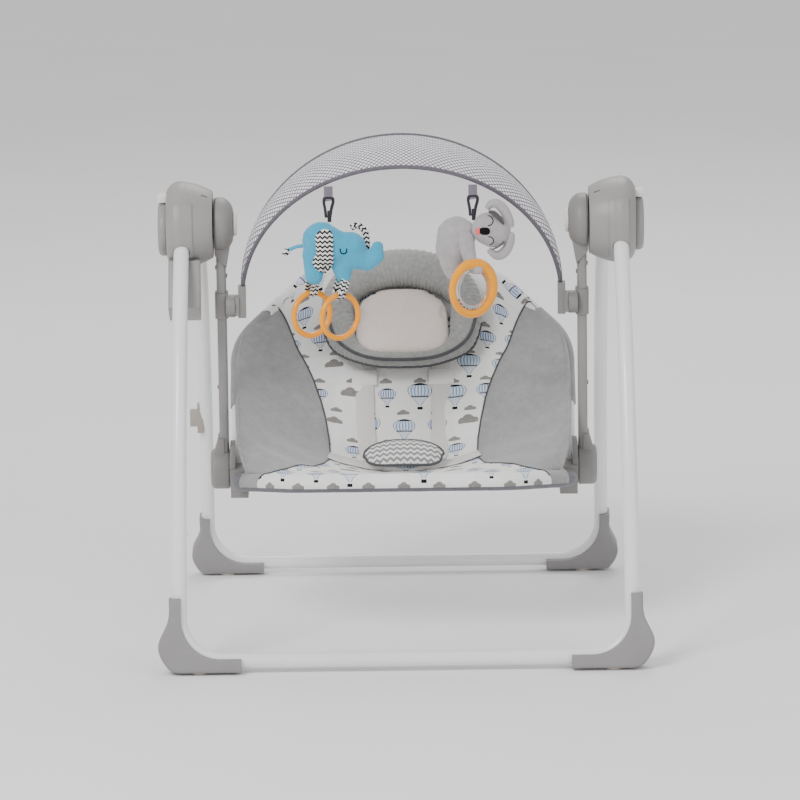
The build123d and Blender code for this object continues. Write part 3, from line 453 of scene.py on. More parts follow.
def roundSection(radius, sides=14):
    return [(radius * math.cos(angle), radius * math.sin(angle)) for angle in circle(sides)]


def strapSection(width, thick):
    radius = thick / 2
    points = []
    for centre, start in ((width / 2 - radius, -90), (radius - width / 2, 90)):
        for turn in (0, 45, 90, 135, 180):
            angle = math.radians(start + turn)
            points.append((centre + radius * math.cos(angle), radius * math.sin(angle)))
    return points


# Catmull-Rom line through the points
def smoothPath(points, steps):
    points = [Vector(p) for p in points]
    line = []
    for i in range(len(points) - 1):
        p0, p1, p2 = points[max(i - 1, 0)], points[i], points[i + 1]
        p3 = points[min(i + 2, len(points) - 1)]
        for s in range(steps):
            t = s / steps
            line.append(0.5 * ((2 * p1) + (p2 - p0) * t + (2 * p0 - 5 * p1 + 4 * p2 - p3) * t * t
                               + (3 * p1 - p0 - 3 * p2 + p3) * t ** 3))
    return line + [points[-1]]


# straight runs joined by arcs of one radius, like a bent tube
def roundedRoute(points, radius, step=0.004):
    points = [Vector(p) for p in points]
    line = [points[0]]
    for i in range(1, len(points) - 1):
        inward = (points[i - 1] - points[i]).normalized()
        onward = (points[i + 1] - points[i]).normalized()
        half = inward.angle(onward) / 2
        reach = radius / math.tan(half)
        centre = points[i] + (inward + onward).normalized() * (radius / math.sin(half))
        start = points[i] + inward * reach - centre
        end = points[i] + onward * reach - centre
        turn = start.angle(end)
        for s in range(13):
            t = s / 12
            arm = start * math.sin((1 - t) * turn) + end * math.sin(t * turn)
            line.append(centre + arm / math.sin(turn))
    line.append(points[-1])
    return evenly(line, step)


def evenly(line, step):
    lengths = [0.0]
    for a, b in zip(line, line[1:]):
        lengths.append(lengths[-1] + (b - a).length)
    count = max(2, int(lengths[-1] / step) + 1)
    found, j = [], 0
    for i in range(count):
        want = lengths[-1] * i / (count - 1)
        while j < len(line) - 2 and lengths[j + 1] < want:
            j += 1
        share = (want - lengths[j]) / max(lengths[j + 1] - lengths[j], 1e-9)
        found.append(line[j].lerp(line[j + 1], min(share, 1)))
    return found


def pick(line, share):
    at = share * (len(line) - 1)
    low = min(int(at), len(line) - 2)
    return line[low].lerp(line[low + 1], at - low)


def smoothStep(value, low, high):
    t = min(max((value - low) / (high - low), 0), 1)
    return t * t * (3 - 2 * t)


def join(name, pieces, material):
    for other in bpy.context.selected_objects:
        other.select_set(False)
    for piece in pieces:
        piece.select_set(True)
    bpy.context.view_layer.objects.active = pieces[0]
    bpy.ops.object.join()
    return finishMesh(pieces[0], name, material)


def settle(made, body, slotName, *replaced):
    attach(made, body)
    if replaced:
        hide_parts(*replaced)
    return made


# ---- hard parts: CAD shapes with softened edges

def softCopy(node, material, slotName, bevel=0.0012, steps=2):
    source = frame["nodes"][node]
    made = bpy.data.objects.new(node + "_soft", source.data.copy())
    bpy.context.scene.collection.objects.link(made)
    bm = bmesh.new()
    bm.from_mesh(made.data)
    bmesh.ops.remove_doubles(bm, verts=bm.verts, dist=0.00002)
    bmesh.ops.dissolve_limit(bm, angle_limit=math.radians(1.5), verts=bm.verts, edges=bm.edges)
    bm.to_mesh(made.data)
    bm.free()
    edge = made.modifiers.new("edge", "BEVEL")
    edge.width = bevel
    edge.segments = steps
    edge.limit_method = "ANGLE"
    edge.angle_limit = math.radians(38)
    applyAll(made)
    finishMesh(made, node + "_soft", material, 35)
    return settle(made, bodyOf[node], slotName, node)


softened = [
    ("front_feet", footPlastic, "foot_grey", 0.0025),
    ("rear_feet", footPlastic, "foot_grey", 0.0025),
    ("front_foot_pads", padRubber, "pad_rubber", 0.001),
    ("rear_foot_pads", padRubber, "pad_rubber", 0.001),
    ("hub_inner_shells", hubPlastic, "hub_grey", 0.002),
    ("hub_outer_shells", hubPlastic, "hub_grey", 0.0012),
    ("hub_side_caps", hubPlastic, "hub_grey", 0.0015),
    ("hub_front_panels", hubPlastic, "hub_grey", 0.0015),
    ("arm_heads", headPlastic, "head_grey", 0.0015),
    ("swing_arms", armPlastic, "arm_grey", 0.0015),
    ("pivot_housings", headPlastic, "head_grey", 0.002),
    ("toy_bar_collars", headPlastic, "head_grey", 0.0015),
    ("toy_bar_holders", headPlastic, "head_grey", 0.0015),
    ("seat_brackets", headPlastic, "head_grey", 0.0018),
    ("battery_box", hubPlastic, "hub_grey", 0.002),
    ("fold_button_left", whitePlastic, "button_white", 0.001),
    ("fold_button_right", whitePlastic, "button_white", 0.001),
    ("speed_dial", whitePlastic, "dial_white", 0.001),
    ("sound_dial", whitePlastic, "dial_white", 0.001),
    ("leg_clip", clipPlastic, "foot_grey", 0.001),
    ("strap_adjusters", whitePlastic, "adjuster_white", 0.0007),
    ("buckle", darkPlasticAndRecessShade, "buckle_grey", 0.0015),
    ("buckle_button", headPlastic, "buckle_grey", 0.0008),
]
for node, material, slotName, bevel in softened:
    softCopy(node, material, slotName, bevel)

kept = {
    whiteSteel: ["front_base_tube", "front_legs", "rear_base_tube", "rear_legs", "seat_front_tube",
                 "seat_back_tube"],
    hubPlastic: ["rear_knuckles", "battery_door"],
    whitePlastic: ["front_leg_buttons", "rear_leg_buttons"],
    # internal hub parts: near-black as painted shade in the hub's recesses, not their own colour
    darkPlasticAndRecessShade: ["power_inlet", "hub_cores", "shaft_bushes", "circuit_board", "battery_cells",
                  "gear_carrier"],
    bareSteel: ["swing_shafts", "arm_rivets", "drive_motor", "drive_fork"],
    padRubber: ["motor_pinion", "drive_gear"],
    sleeveBinding: ["toy_bar_frame"],
    yellowPlastic: ["elephant_ring_left", "elephant_ring_right"],
}
for material, names in kept.items():
    for name in names:
        mesh = frame["nodes"][name].data
        for index in range(len(mesh.materials)):
            mesh.materials[index] = material
        if not len(mesh.materials):
            mesh.materials.append(material)
print("hard parts done")


# ---- seat cover: a printed sling between two plain wings

frontLow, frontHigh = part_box("seat_front_tube")
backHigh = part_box("seat_back_tube")[1]
seat = dict(
    tube=0.008,
    frontHalf=frontHigh.x - 0.008,
    frontY=frontLow.y + 0.008,
    frontZ=0.226,
    frontSlope=30 / 172,
    cornerIn=0.078, cornerBack=0.077, cornerBend=0.060,
    backHalf=backHigh.x - 0.008,
    backY=0.012, backZ=0.200, backAngle=math.radians(46.8),
    backLength=0.318, backShoulder=0.205, backTopHalf=0.120, backBend=0.080,
    clothThick=0.0018, wrapRadius=0.0106, bandRadius=0.0104, bandDrop=0.0022, sleeveRadius=0.0100,
    wingSleeveRadius=0.0104, wrapFrom=-30, wrapTurn=130,
)


def backPoint(across, along, off=0.0):
    lean = seat["backAngle"]
    return Vector((across, seat["backY"] + along * math.cos(lean) - off * math.sin(lean),
                   seat["backZ"] + along * math.sin(lean) + off * math.cos(lean)))


def frontPoint(across, y):
    return Vector((across, y, seat["frontZ"] + (seat["frontY"] - y) * seat["frontSlope"]))


half, cornerY = seat["frontHalf"], seat["frontY"] + seat["cornerBack"]
cornerX = half - seat["cornerIn"]
frontCorners = [(-half, -0.045), (-half, cornerY), (-cornerX, seat["frontY"]),
                (cornerX, seat["frontY"]), (half, cornerY), (half, -0.045)]
frontRoute = roundedRoute([frontPoint(x, y) for x, y in frontCorners], seat["cornerBend"])
back, top = seat["backHalf"], seat["backTopHalf"]
backCorners = [(-back, 0.10), (-back, seat["backShoulder"]), (-top, seat["backLength"]),
               (top, seat["backLength"]), (back, seat["backShoulder"]), (back, 0.10)]
backRoute = roundedRoute([backPoint(x, along) for x, along in backCorners], seat["backBend"])

# the cloth's middle and its outer edge, from the front tube to the top of the back
centreLine = evenly(smoothPath([
    (0, -0.172, 0.2365), (0, -0.158, 0.2345), (0, -0.130, 0.225), (0, -0.090, 0.217), (0, -0.040, 0.212),
    (0, 0.025, 0.216), (0, 0.070, 0.245), (0, 0.140, 0.317), (0, 0.205, 0.386),
    (0, 0.2235, 0.4395)], 12), 0.002)
edgeLine = evenly(smoothPath([
    (0.207, -0.116, 0.228), (0.217, -0.075, 0.264), (0.2205, -0.020, 0.293), (0.2215, 0.040, 0.318),
    (0.2215, 0.105, 0.338), (0.2215, 0.152, 0.355)], 12), 0.002)
frontSpan = [p for p in frontRoute if abs(p.x) < 0.2075]
topSpan = [p for p in backRoute if (p - backPoint(0, 0.205)).z > 0.002]


# the seam between print and wing, as a share of the half width, at even steps up the seat
seamShares = [0.87, 0.84, 0.70, 0.56, 0.49, 0.455, 0.445, 0.45,
              0.47, 0.50, 0.54, 0.59, 0.64, 0.69, 0.74, 0.79]
seamLine = [Vector((share, 0, 0)) for share in seamShares]


def seamShare(v):
    return pick(seamLine, v).x


# a point on the cloth that rolls over the front tube; turn 0 faces outwards, 90 is its top
def wrapFront(u, turn):
    share = (u + 1) / 2 * (len(frontSpan) - 1)
    at = min(int(share), len(frontSpan) - 2)
    run = (frontSpan[at + 1] - frontSpan[at]).normalized()
    outward = run.cross(Vector((0, 0, 1))).normalized()
    angle = math.radians(turn)
    direction = outward * math.cos(angle) + Vector((0, 0, 1)) * math.sin(angle)
    return pick(frontSpan, (u + 1) / 2) + direction * seat["wrapRadius"]


def coverPoint(u, v):
    side = 1 if u > 0 else -1
    reach = abs(u)
    inside = max(0, (v - 0.045) / 0.955)
    centre, edge = pick(centreLine, inside), pick(edgeLine, inside)
    rise = max(0, (reach - 0.12) / 0.88) ** 1.75
    point = centre.lerp(edge, rise)
    point.x = side * reach * edge.x
    topRow = pick(topSpan, (u + 1) / 2) + Vector((0, -0.004, 0.0085))
    point = point.lerp(topRow, smoothStep(v, 0.80, 1.0))
    ripple = noise.noise(Vector((u * 5, v * 9, 2.0))) * 0.0026
    ripple += noise.noise(Vector((u * 15, v * 6, 8.0))) * 0.0014
    fold = math.sin(v * 46 + u * 9) * 0.0012
    fold *= smoothStep(reach, 0.35, 0.6) * (1 - smoothStep(reach, 0.8, 1.0))
    calm = smoothStep(v, 0.03, 0.12) * (1 - smoothStep(v, 0.9, 1.0))
    point += Vector((0, -0.5, 0.8)) * (ripple + fold) * calm
    front = wrapFront(u, seat["wrapFrom"] + seat["wrapTurn"] * min(v / 0.05, 1))
    return point.lerp(front, 1 - smoothStep(v, 0.045, 0.15))


def coverGrid(name, material, fromU, toU, columns, rows=120):
    grid, uvs = [], []
    length = 0.0
    for j in range(rows + 1):
        v = j / rows
        low, high = fromU(v), toU(v)
        row = [coverPoint(low + (high - low) * i / columns, v) for i in range(columns + 1)]
        probe = [coverPoint(low * k / 6, v) for k in range(7)]
        start = -sum((b - a).length for a, b in zip(probe, probe[1:])) * (1 if low < 0 else -1)
        if j:
            length += (coverPoint(0, v) - coverPoint(0, (j - 1) / rows)).length
        uvRow, run = [], start
        for i, point in enumerate(row):
            if i:
                run += (point - row[i - 1]).length
            uvRow.append((run, length))
        grid.append(row)
        uvs.append(uvRow)
    return gridPiece(name, grid, material, thick=seat["clothThick"], uvRows=uvs)


printPanel = coverGrid("seat_print_panel", seatCotton, lambda v: -seamShare(v), lambda v: seamShare(v), 70)
leftWing = coverGrid("seat_wing_left", wingVelour, lambda v: -1.0, lambda v: -seamShare(v), 34)
rightWing = coverGrid("seat_wing_right", wingVelour, lambda v: seamShare(v), lambda v: 1.0, 34)
settle(printPanel, "seat", "seat_print", "seat_sling")
settle(leftWing, "seat", "wing_grey", "side_wings")
settle(rightWing, "seat", "wing_grey")
for made in (printPanel, leftWing, rightWing):
    area = sum(p.area for p in made.data.polygons) / 2
    print(made.name, "area", round(area, 4))

# seams and the bound edge of each wing
for side, word in ((-1, "left"), (1, "right")):
    onCloth = Vector((0, -0.001, 0.0012))
    seamPath = [coverPoint(side * seamShare(j / 90), j / 90) + onCloth for j in range(2, 89)]
    seam = sweep("seat_seam_" + word, seamPath, roundSection(0.0011, 8), pipingKnit)
    settle(seam, "seat", "wing_grey")
    edgePath = [coverPoint(side, j / 90) for j in range(91)]
    edge = sweep("wing_edge_" + word, edgePath, roundSection(0.0026, 12), wingVelour)
    settle(edge, "seat", "wing_grey")

# dark band under the front edge, and the sleeves round the back tube
bandPath = [p - Vector((0, 0, seat["bandDrop"])) for p in frontRoute]
band = sweep("seat_front_band", bandPath, roundSection(seat["bandRadius"], 20), bandKnit,
             scales=[1 + 0.03 * noise.noise(Vector((p.x * 60, p.y * 60, 0))) for p in frontRoute])
settle(band, "seat", "seat_print")
printSleeve = [p for p in backRoute if (p - backPoint(0, 0.245)).z > 0]
topSleeve = sweep("seat_top_sleeve", printSleeve, roundSection(seat["sleeveRadius"], 20), seatCotton,
                  scales=[1 + 0.02 * noise.noise(Vector((p.x * 50, p.z * 50, 4))) for p in printSleeve])
settle(topSleeve, "seat", "seat_print")
for side, word in ((-1, "left"), (1, "right")):
    low, high = backPoint(0, 0.10).z, backPoint(0, 0.25).z
    line = [p for p in backRoute if p.x * side > 0 and low < p.z < high]
    sleeveSide = sweep("wing_sleeve_" + word, line, roundSection(seat["wingSleeveRadius"], 20), wingVelour,
                       scales=[1 + 0.03 * noise.noise(Vector((p.x * 50, p.z * 50, 4))) for p in line])
    settle(sleeveSide, "seat", "wing_grey")
print("seat cover done")


# ---- headrest: gathered ring round a cream pad

headrest = dict(middle=0.241, side=0.0875, topY=0.0640, lowY=0.0800, width=0.0210, topWidth=0.0270,
                height=0.0195, off=0.0285, bottomWidth=0.0090, bottomHeight=0.0120, gathers=74,
                spreadX=0.0885, spreadY=0.0725, padDrop=0.018)


def onHeadrest(x, y, off):
    return backPoint(x, headrest["middle"] + y, off)


def ringShape(turn):
    cosine, sine = math.cos(turn), math.sin(turn)
    low, high = smoothStep(-sine, 0.35, 0.95), smoothStep(sine, 0.1, 1.0)
    wide = headrest["width"] + (headrest["topWidth"] - headrest["width"]) * high
    wide += (headrest["bottomWidth"] - wide) * low
    tall = headrest["height"] + (headrest["bottomHeight"] - headrest["height"]) * low
    power = 1.0 - 0.30 * smoothStep(-sine, -0.1, 0.6)
    x = headrest["side"] * math.copysign(abs(cosine) ** power, cosine)
    y = (headrest["topY"] if sine > 0 else headrest["lowY"]) * math.copysign(abs(sine) ** power, sine)
    return x, y, wide, tall


def headrestRing(turn, phi, swell=1.0):
    x, y, wide, high = ringShape(turn)
    outward = Vector((x / headrest["spreadX"] ** 2, y / headrest["spreadY"] ** 2, 0)).normalized()
    def drift(scale, layer):
        return noise.noise(Vector((math.cos(turn) * scale, math.sin(turn) * scale, layer)))

    pleat = math.sin(headrest["gathers"] * turn + 1.6 * drift(5, 1))
    pleat *= 0.55 + 0.45 * drift(11, phi)
    tight = 0.35 + 0.65 * abs(math.cos(phi))
    puff = 1 + 0.045 * pleat * tight + 0.03 * drift(3, phi)
    a = wide * puff * swell * math.copysign(abs(math.cos(phi)) ** 0.85, math.cos(phi))
    b = high * puff * swell * math.copysign(abs(math.sin(phi)) ** 0.85, math.sin(phi))
    lift = headrest["off"] - (headrest["height"] - high) * 0.6
    return onHeadrest(x + outward.x * a, y + outward.y * a, lift + b)


rollRows = [[headrestRing(turn, phi) for phi in circle(36)] for turn in circle(592)]
roll = gridPiece("headrest_roll_gathered", rollRows, rollHeather, loopU=True, loopV=True, flip=True)
settle(roll, "seat", "headrest_grey", "headrest_roll")


def padPoint(x, y, off):
    return onHeadrest(x, y - headrest["padDrop"], off)


def padReach(angle):
    cosine, sine = abs(math.cos(angle)), abs(math.sin(angle))
    low = math.sin(angle) < 0
    wide, tall, power = 0.0670, 0.0575 if low else 0.0560, 4.4 if low else 2.3
    return ((cosine / wide) ** power + (sine / tall) ** power) ** (-1 / power)


def outlineRow(reach, place, share, off, spokes):
    return [place(reach(angle) * share * math.cos(angle), reach(angle) * share * math.sin(angle), off)
            for angle in circle(spokes)]


# closed pad: a domed top and a nearly flat back that share one outline
def domedPad(name, material, reach, place, dome, base, rings=22, spokes=96):
    rows = []
    for layer in range(rings + 1):
        share = math.sin(layer / rings * math.pi / 2)
        rows.append(outlineRow(reach, place, share, base + dome * (1 - share ** 2.6) ** 0.62, spokes))
    for layer in range(rings - 1, -1, -3):
        share = math.sin(layer / rings * math.pi / 2)
        rows.append(outlineRow(reach, place, share, base - 0.35 * dome * (1 - share ** 4) ** 0.5, spokes))
    made = gridPiece(name, rows, material, loopU=True)
    bm = bmesh.new()
    bm.from_mesh(made.data)
    bmesh.ops.remove_doubles(bm, verts=bm.verts, dist=0.00001)
    bmesh.ops.holes_fill(bm, edges=[e for e in bm.edges if e.is_boundary], sides=0)
    bmesh.ops.recalc_face_normals(bm, faces=bm.faces)
    bm.to_mesh(made.data)
    bm.free()
    return made


# remeshes a pad and lets cloth pressure fill it, with each point's move capped
def stuff(made, voxel, cap, pressure=4.0):
    mixer = made.modifiers.new("remesh", "REMESH")
    mixer.mode = "VOXEL"
    mixer.voxel_size = voxel
    applyAll(made)
    before = [v.co.copy() for v in made.data.vertices]
    cloth = made.modifiers.new("cloth", "CLOTH")
    cloth.settings.use_pressure = True
    cloth.settings.uniform_pressure_force = pressure
    cloth.settings.effector_weights.gravity = 0
    for step in range(1, 21):
        bpy.context.scene.frame_set(step)
    applyAll(made)
    bpy.context.scene.frame_set(1)
    for vertex, old in zip(made.data.vertices, before):
        move = vertex.co - old
        if move.length > cap:
            vertex.co = old + move.normalized() * cap
    finer = made.modifiers.new("finer", "SUBSURF")
    finer.levels = 1
    applyAll(made)


pad = domedPad("headrest_pad_cream", padMesh, padReach, padPoint, 0.013, 0.0235)
stuff(pad, 0.005, 0.004)
finishMesh(pad, "headrest_pad_cream", padMesh, 60)
settle(pad, "seat", "pad_cream", "headrest_pad")

# two rows of piping round the lower edge
for name, start, sweepTurn, phi, radius in (("headrest_piping", 188, 164, 52, 0.0024),
                                            ("headrest_piping_lower", 190, 160, -18, 0.0020)):
    turns = [math.radians(start + sweepTurn * j / 69) for j in range(70)]
    path = [headrestRing(turn, math.radians(phi), 1.04) for turn in turns]
    piping = sweep(name, evenly(path, 0.003), roundSection(radius, 12), pipingKnit)
    settle(piping, "seat", "headrest_grey")
print("headrest done")


# ---- harness: webbing laid on the seat, crotch pad

harness = dict(
    width=0.025, thick=0.0018, shoulderLift=0.0052, waistLift=0.004,
    shoulder=[(0.052, 0.172), (0.052, 0.140), (0.052, 0.110), (0.051, 0.080), (0.049, 0.045),
              (0.045, 0.018), (0.038, 0.002)],
    waist=[(0.12, -0.012), (0.20, -0.010), (0.30, -0.004), (0.40, 0.004), (0.455, 0.008)],
)
strapShape = strapSection(harness["width"], harness["thick"])


def seatStation(y):
    return min((abs(p.y - y), index) for index, p in enumerate(centreLine))[1]


for side, word in ((-1, "left"), (1, "right")):
    path = []
    for x, y in harness["shoulder"]:
        path.append((side * x, y, centreLine[seatStation(y)].z + harness["shoulderLift"]))
    strap = sweep("shoulder_strap_" + word, evenly(smoothPath(path, 10), 0.004), strapShape, strapWebbing,
                  sideways=Vector((1, 0, 0)))
    settle(strap, "seat", "webbing_white", *(["harness_straps"] if side < 0 else []))
    path = []
    for share, y in harness["waist"]:
        v = seatStation(y) / (len(centreLine) - 1)
        path.append(coverPoint(side * share, v) + Vector((0, 0, harness["waistLift"])))
    waist = sweep("waist_strap_" + word, evenly(smoothPath(path, 10), 0.004), strapShape, strapWebbing,
                  sideways=Vector((0, 1, 0.1)))
    settle(waist, "seat", "webbing_white")

crotchLow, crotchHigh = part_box("crotch_pad")
crotchMiddle = (crotchLow + crotchHigh) / 2
crotchPad = dict(lean=math.radians(36), upperHalf=0.0530, lowerHalf=0.0500, upper=0.0215, lower=0.0225,
                 corner=2.7)


def crotchPoint(x, y, off):
    lean = crotchPad["lean"]
    drop = 0.003 * (x / 0.05) ** 2
    bulge = off + 0.004 * (1 - (x / 0.054) ** 2)
    return crotchMiddle + Vector((x, y * math.cos(lean) - bulge * math.sin(lean),
                                  y * math.sin(lean) + bulge * math.cos(lean) - drop))


def crotchReach(angle):
    part = "upper" if math.sin(angle) > 0 else "lower"
    power = crotchPad["corner"]
    across = abs(math.cos(angle)) / crotchPad[part + "Half"]
    up = abs(math.sin(angle)) / crotchPad[part]
    return (across ** power + up ** power) ** (-1 / power)


# lays a metric UV on a finished mesh, from each corner's place
def layUv(made, flatten):
    layer = made.data.uv_layers.get("UVMap") or made.data.uv_layers.new(name="UVMap")
    for loop in made.data.loops:
        layer.data[loop.index].uv = flatten(made.data.vertices[loop.vertex_index].co)


crotch = domedPad("crotch_pad_zigzag", crotchCotton, crotchReach, crotchPoint, 0.008, 0.000, 14, 88)
layUv(crotch, lambda at: (at.x - crotchMiddle.x,
                          (at.y - crotchMiddle.y) * 0.8 + (at.z - crotchMiddle.z) * 0.6))
settle(crotch, "seat", "crotch_print", "crotch_pad")
rimPath = outlineRow(crotchReach, crotchPoint, 1, 0.0005, 80)
crotchRim = sweep("crotch_pad_piping", rimPath, roundSection(0.0018, 10), pipingKnit, closed=True)
settle(crotchRim, "seat", "headrest_grey")
print("harness done")


# ---- toy bar: crescent of mesh between two bound bows

toyBar = dict(footX=0.210, footY=-0.010, footZ=0.455, rear=(0.209, 8), front=(0.193, 26), bulge=0.007,
              reach=0.995)


def bowPoint(share, bow):
    rise, tilt = bow
    radius = (toyBar["footX"] ** 2 + rise ** 2) / (2 * rise)
    limit = math.acos((radius - rise) / radius)
    angle = limit * share
    across = radius * math.sin(angle)
    up = rise - radius + radius * math.cos(angle)
    lean = math.radians(tilt)
    return Vector((across, toyBar["footY"] - up * math.sin(lean), toyBar["footZ"] + up * math.cos(lean)))


sleeveRows, sleeveUvs = [], []
runLength = 0.0
for j in range(181):
    share = -toyBar["reach"] + 2 * toyBar["reach"] * j / 180
    rear, front = bowPoint(share, toyBar["rear"]), bowPoint(share, toyBar["front"])
    if j:
        runLength += (rear.lerp(front, 0.5) - before).length
    before = rear.lerp(front, 0.5)
    middle = Vector((0, toyBar["footY"], toyBar["footZ"]))
    outward = (before - middle).normalized()
    row, uvRow = [], []
    wide = (front - rear).length
    for i in range(15):
        t = i / 14
        swell = toyBar["bulge"] * 4 * t * (1 - t) * min(1, wide / 0.03)
        row.append(rear.lerp(front, t) + outward * swell)
        uvRow.append((runLength, wide * t))
    sleeveRows.append(row)
    sleeveUvs.append(uvRow)
sleeve = gridPiece("toy_bar_mesh_sleeve", sleeveRows, sleeveMesh, thick=0.0014, uvRows=sleeveUvs)
settle(sleeve, "toy_bar", "sleeve_mesh", "toy_bar_sleeve")
print("sleeve area", round(sum(p.area for p in sleeve.data.polygons) / 2, 4), "length", round(runLength, 3))
for word, bow in (("rear", toyBar["rear"]), ("front", toyBar["front"])):
    path = [bowPoint(-1 + 2 * j / 160, bow) for j in range(161)]
    binding = sweep("sleeve_binding_" + word, path, roundSection(0.0027, 14), sleeveBinding,
                    scales=[1 + 0.05 * noise.noise(p * 90) for p in path])
    settle(binding, "toy_bar", "bow_dark")
print("toy bar done")


# ---- plush toys

# fuses chains of balls into one stuffed body; a ball is (x, y, z, radius) in millimetres
def blob(name, chains, flatten, voxel, material, middle):
    bm = bmesh.new()
    for chain in chains:
        for a, b in zip(chain, chain[1:] or chain):
            gap = (Vector(b[:3]) - Vector(a[:3])).length
            steps = max(1, int(gap / 3))
            for s in range(steps + 1):
                t = s / steps
                spot = [(p + (q - p) * t) / 1000 for p, q in zip(a, b)]
                place = Matrix.Translation((spot[0], spot[1], spot[2])) @ Matrix.Diagonal((1, flatten, 1, 1))
                bmesh.ops.create_icosphere(bm, subdivisions=3, radius=spot[3], matrix=place)
    bmesh.ops.translate(bm, verts=bm.verts, vec=middle)
    made = fromMesh(bm, name)
    mixer = made.modifiers.new("fuse", "REMESH")
    mixer.mode = "VOXEL"
    mixer.voxel_size = voxel
    calm = made.modifiers.new("calm", "SMOOTH")
    calm.factor = 0.6
    calm.iterations = 9
    finer = made.modifiers.new("finer", "SUBSURF")
    finer.levels = 1
    applyAll(made)
    for vertex in made.data.vertices:
        vertex.co += vertex.normal * noise.noise(vertex.co * 110) * 0.0006
    return finishMesh(made, name, material, 80)


def frontOf(made, x, z, lift=0.0):
    hit, spot = made.ray_cast(Vector((x, -1, z)), Vector((0, 1, 0)))[:2]
    return spot + Vector((0, -lift, 0)) if hit else Vector((x, -0.11, z))


def stitched(name, made, points, radius, material, lift=0.0003):
    path = evenly(smoothPath([frontOf(made, p.x, p.z, lift) for p in points], 6), 0.0008)
    return sweep(name, path, roundSection(radius, 8), material)


# cloth patch sewn on the front of a toy: outline in the XZ plane, in metres
def patch(name, made, outline, material, thick, puff):
    middle = sum(outline, Vector()) / len(outline)
    rows, uvs = [], []
    for layer in range(9):
        share = layer / 8
        row, uvRow = [], []
        for point in outline:
            at = middle.lerp(point, max(share, 0.001))
            base = frontOf(made, at.x, at.z)
            row.append(Vector((at.x, base.y - thick - puff * (1 - share ** 2.2), at.z)))
            uvRow.append((at.x, at.z))
        rows.append(row)
        uvs.append(uvRow + [uvRow[0]])
    rim = [Vector((p.x, frontOf(made, p.x, p.z).y + 0.0015, p.z)) for p in outline]
    rows.append(rim)
    uvs.append(uvs[-1])
    return gridPiece(name, rows, material, loopU=True, uvRows=uvs)


hookLow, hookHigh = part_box("elephant_hook")
elephantAt = Vector(((hookLow.x + hookHigh.x) / 2, (hookLow.y + hookHigh.y) / 2, hookLow.z))
elephant = dict(
    body=[(-10, 0, -29, 26), (4, 0, -38, 25)],
    rearLeg=[(-19, 0, -48, 17), (-20, -2, -75, 12.5)],
    frontLeg=[(15, 0, -52, 16), (18, -1, -76, 11)],
    head=[(18, -1, -36, 20), (29, -2, -37, 20)],
    trunk=[(32, -2, -50, 17), (50, -2, -57, 12.5), (61, -2, -49, 11.5), (63, -2, -37, 8.5)],
)
elephantBody = blob("elephant_plush", list(elephant.values()), 0.66, 0.0022, elephantPlush, elephantAt)
settle(elephantBody, "elephant", "toy_blue", "elephant_toy")


# points of a toy in millimetres from its hook, at one depth in metres
def local(origin, points, y=0.0):
    return [origin + Vector((x / 1000, y, z / 1000)) for x, z in points]


earShape = local(elephantAt, [(-7, -11), (-1, -12), (4, -16), (5.5, -24), (5.5, -40), (5.5, -54), (3, -62),
                              (-2, -67), (-9, -69), (-16, -65), (-21, -59), (-21.5, -53), (-17.5, -44),
                              (-17, -34), (-17.5, -20), (-13, -14)])
earShape = evenly(smoothPath(earShape + [earShape[0]], 6), 0.0016)[:-1]
nearEar = patch("elephant_ear_near", elephantBody, earShape, earCotton, 0.0025, 0.0035)
settle(nearEar, "elephant", "sleeve_mesh")
farPath = smoothPath(local(elephantAt, [(29, -13), (36, -10), (43, -13), (47.5, -20), (49, -29), (49, -38),
                                        (47, -47)], 0.006), 6)
farSection = [(a, b * 0.55) for a, b in roundSection(0.0042, 12)]
farEar = sweep("elephant_ear_far", evenly(farPath, 0.0015), farSection, earCotton,
               sideways=Vector((0.5, 0, 1)))
settle(farEar, "elephant", "sleeve_mesh")
eyeLine = local(elephantAt, [(14.6, -36.8), (14.8, -41), (17, -43.4), (20.5, -43.4), (22.8, -41),
                             (23, -36.8)])
eye = stitched("elephant_eye", elephantBody, eyeLine, 0.0007, blackThread)
settle(eye, "elephant", "dial_white")
tailPath = smoothPath(local(elephantAt, [(-34, -35), (-42, -36), (-50, -39), (-54, -41)]), 8)
tail = sweep("elephant_tail", tailPath, roundSection(0.0024, 12), elephantPlush)
settle(tail, "elephant", "toy_blue")
knotBalls = [[(-56, 0, -43, 5), (-55, -1, -42, 4.6)], [(-58, 1, -44, 4)]]
knot = blob("elephant_tail_knot", knotBalls, 0.9, 0.0008, earCotton, elephantAt)
layUv(knot, lambda at: (at.x + at.y, at.z))
settle(knot, "elephant", "sleeve_mesh")

# zigzag loops that hold the two rings
turn = math.radians(35)
along = Vector((math.cos(turn), math.sin(turn), 0))
depth = Vector((-math.sin(turn), math.cos(turn), 0))
lift = Vector((0, 0, 0.006))
for ring, footX in (("elephant_ring_left", -20), ("elephant_ring_right", 18)):
    low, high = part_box(ring)
    crown = Vector(((low.x + high.x) / 2, (low.y + high.y) / 2, high.z - 0.0037))
    start = elephantAt + Vector((footX, 0, -80)) / 1000
    path = [start + depth * 0.006, crown + lift + depth * 0.0062, crown + depth * 0.0058,
            crown - Vector((0, 0, 0.0055)), crown - depth * 0.0058, crown + lift - depth * 0.0062,
            start - depth * 0.006]
    loop = sweep("zigzag_loop_" + ring[-5:].strip("_"), evenly(smoothPath(path, 8), 0.001),
                 strapSection(0.0125, 0.0014), earCotton, sideways=along)
    settle(loop, "elephant", "sleeve_mesh")
print("elephant done")

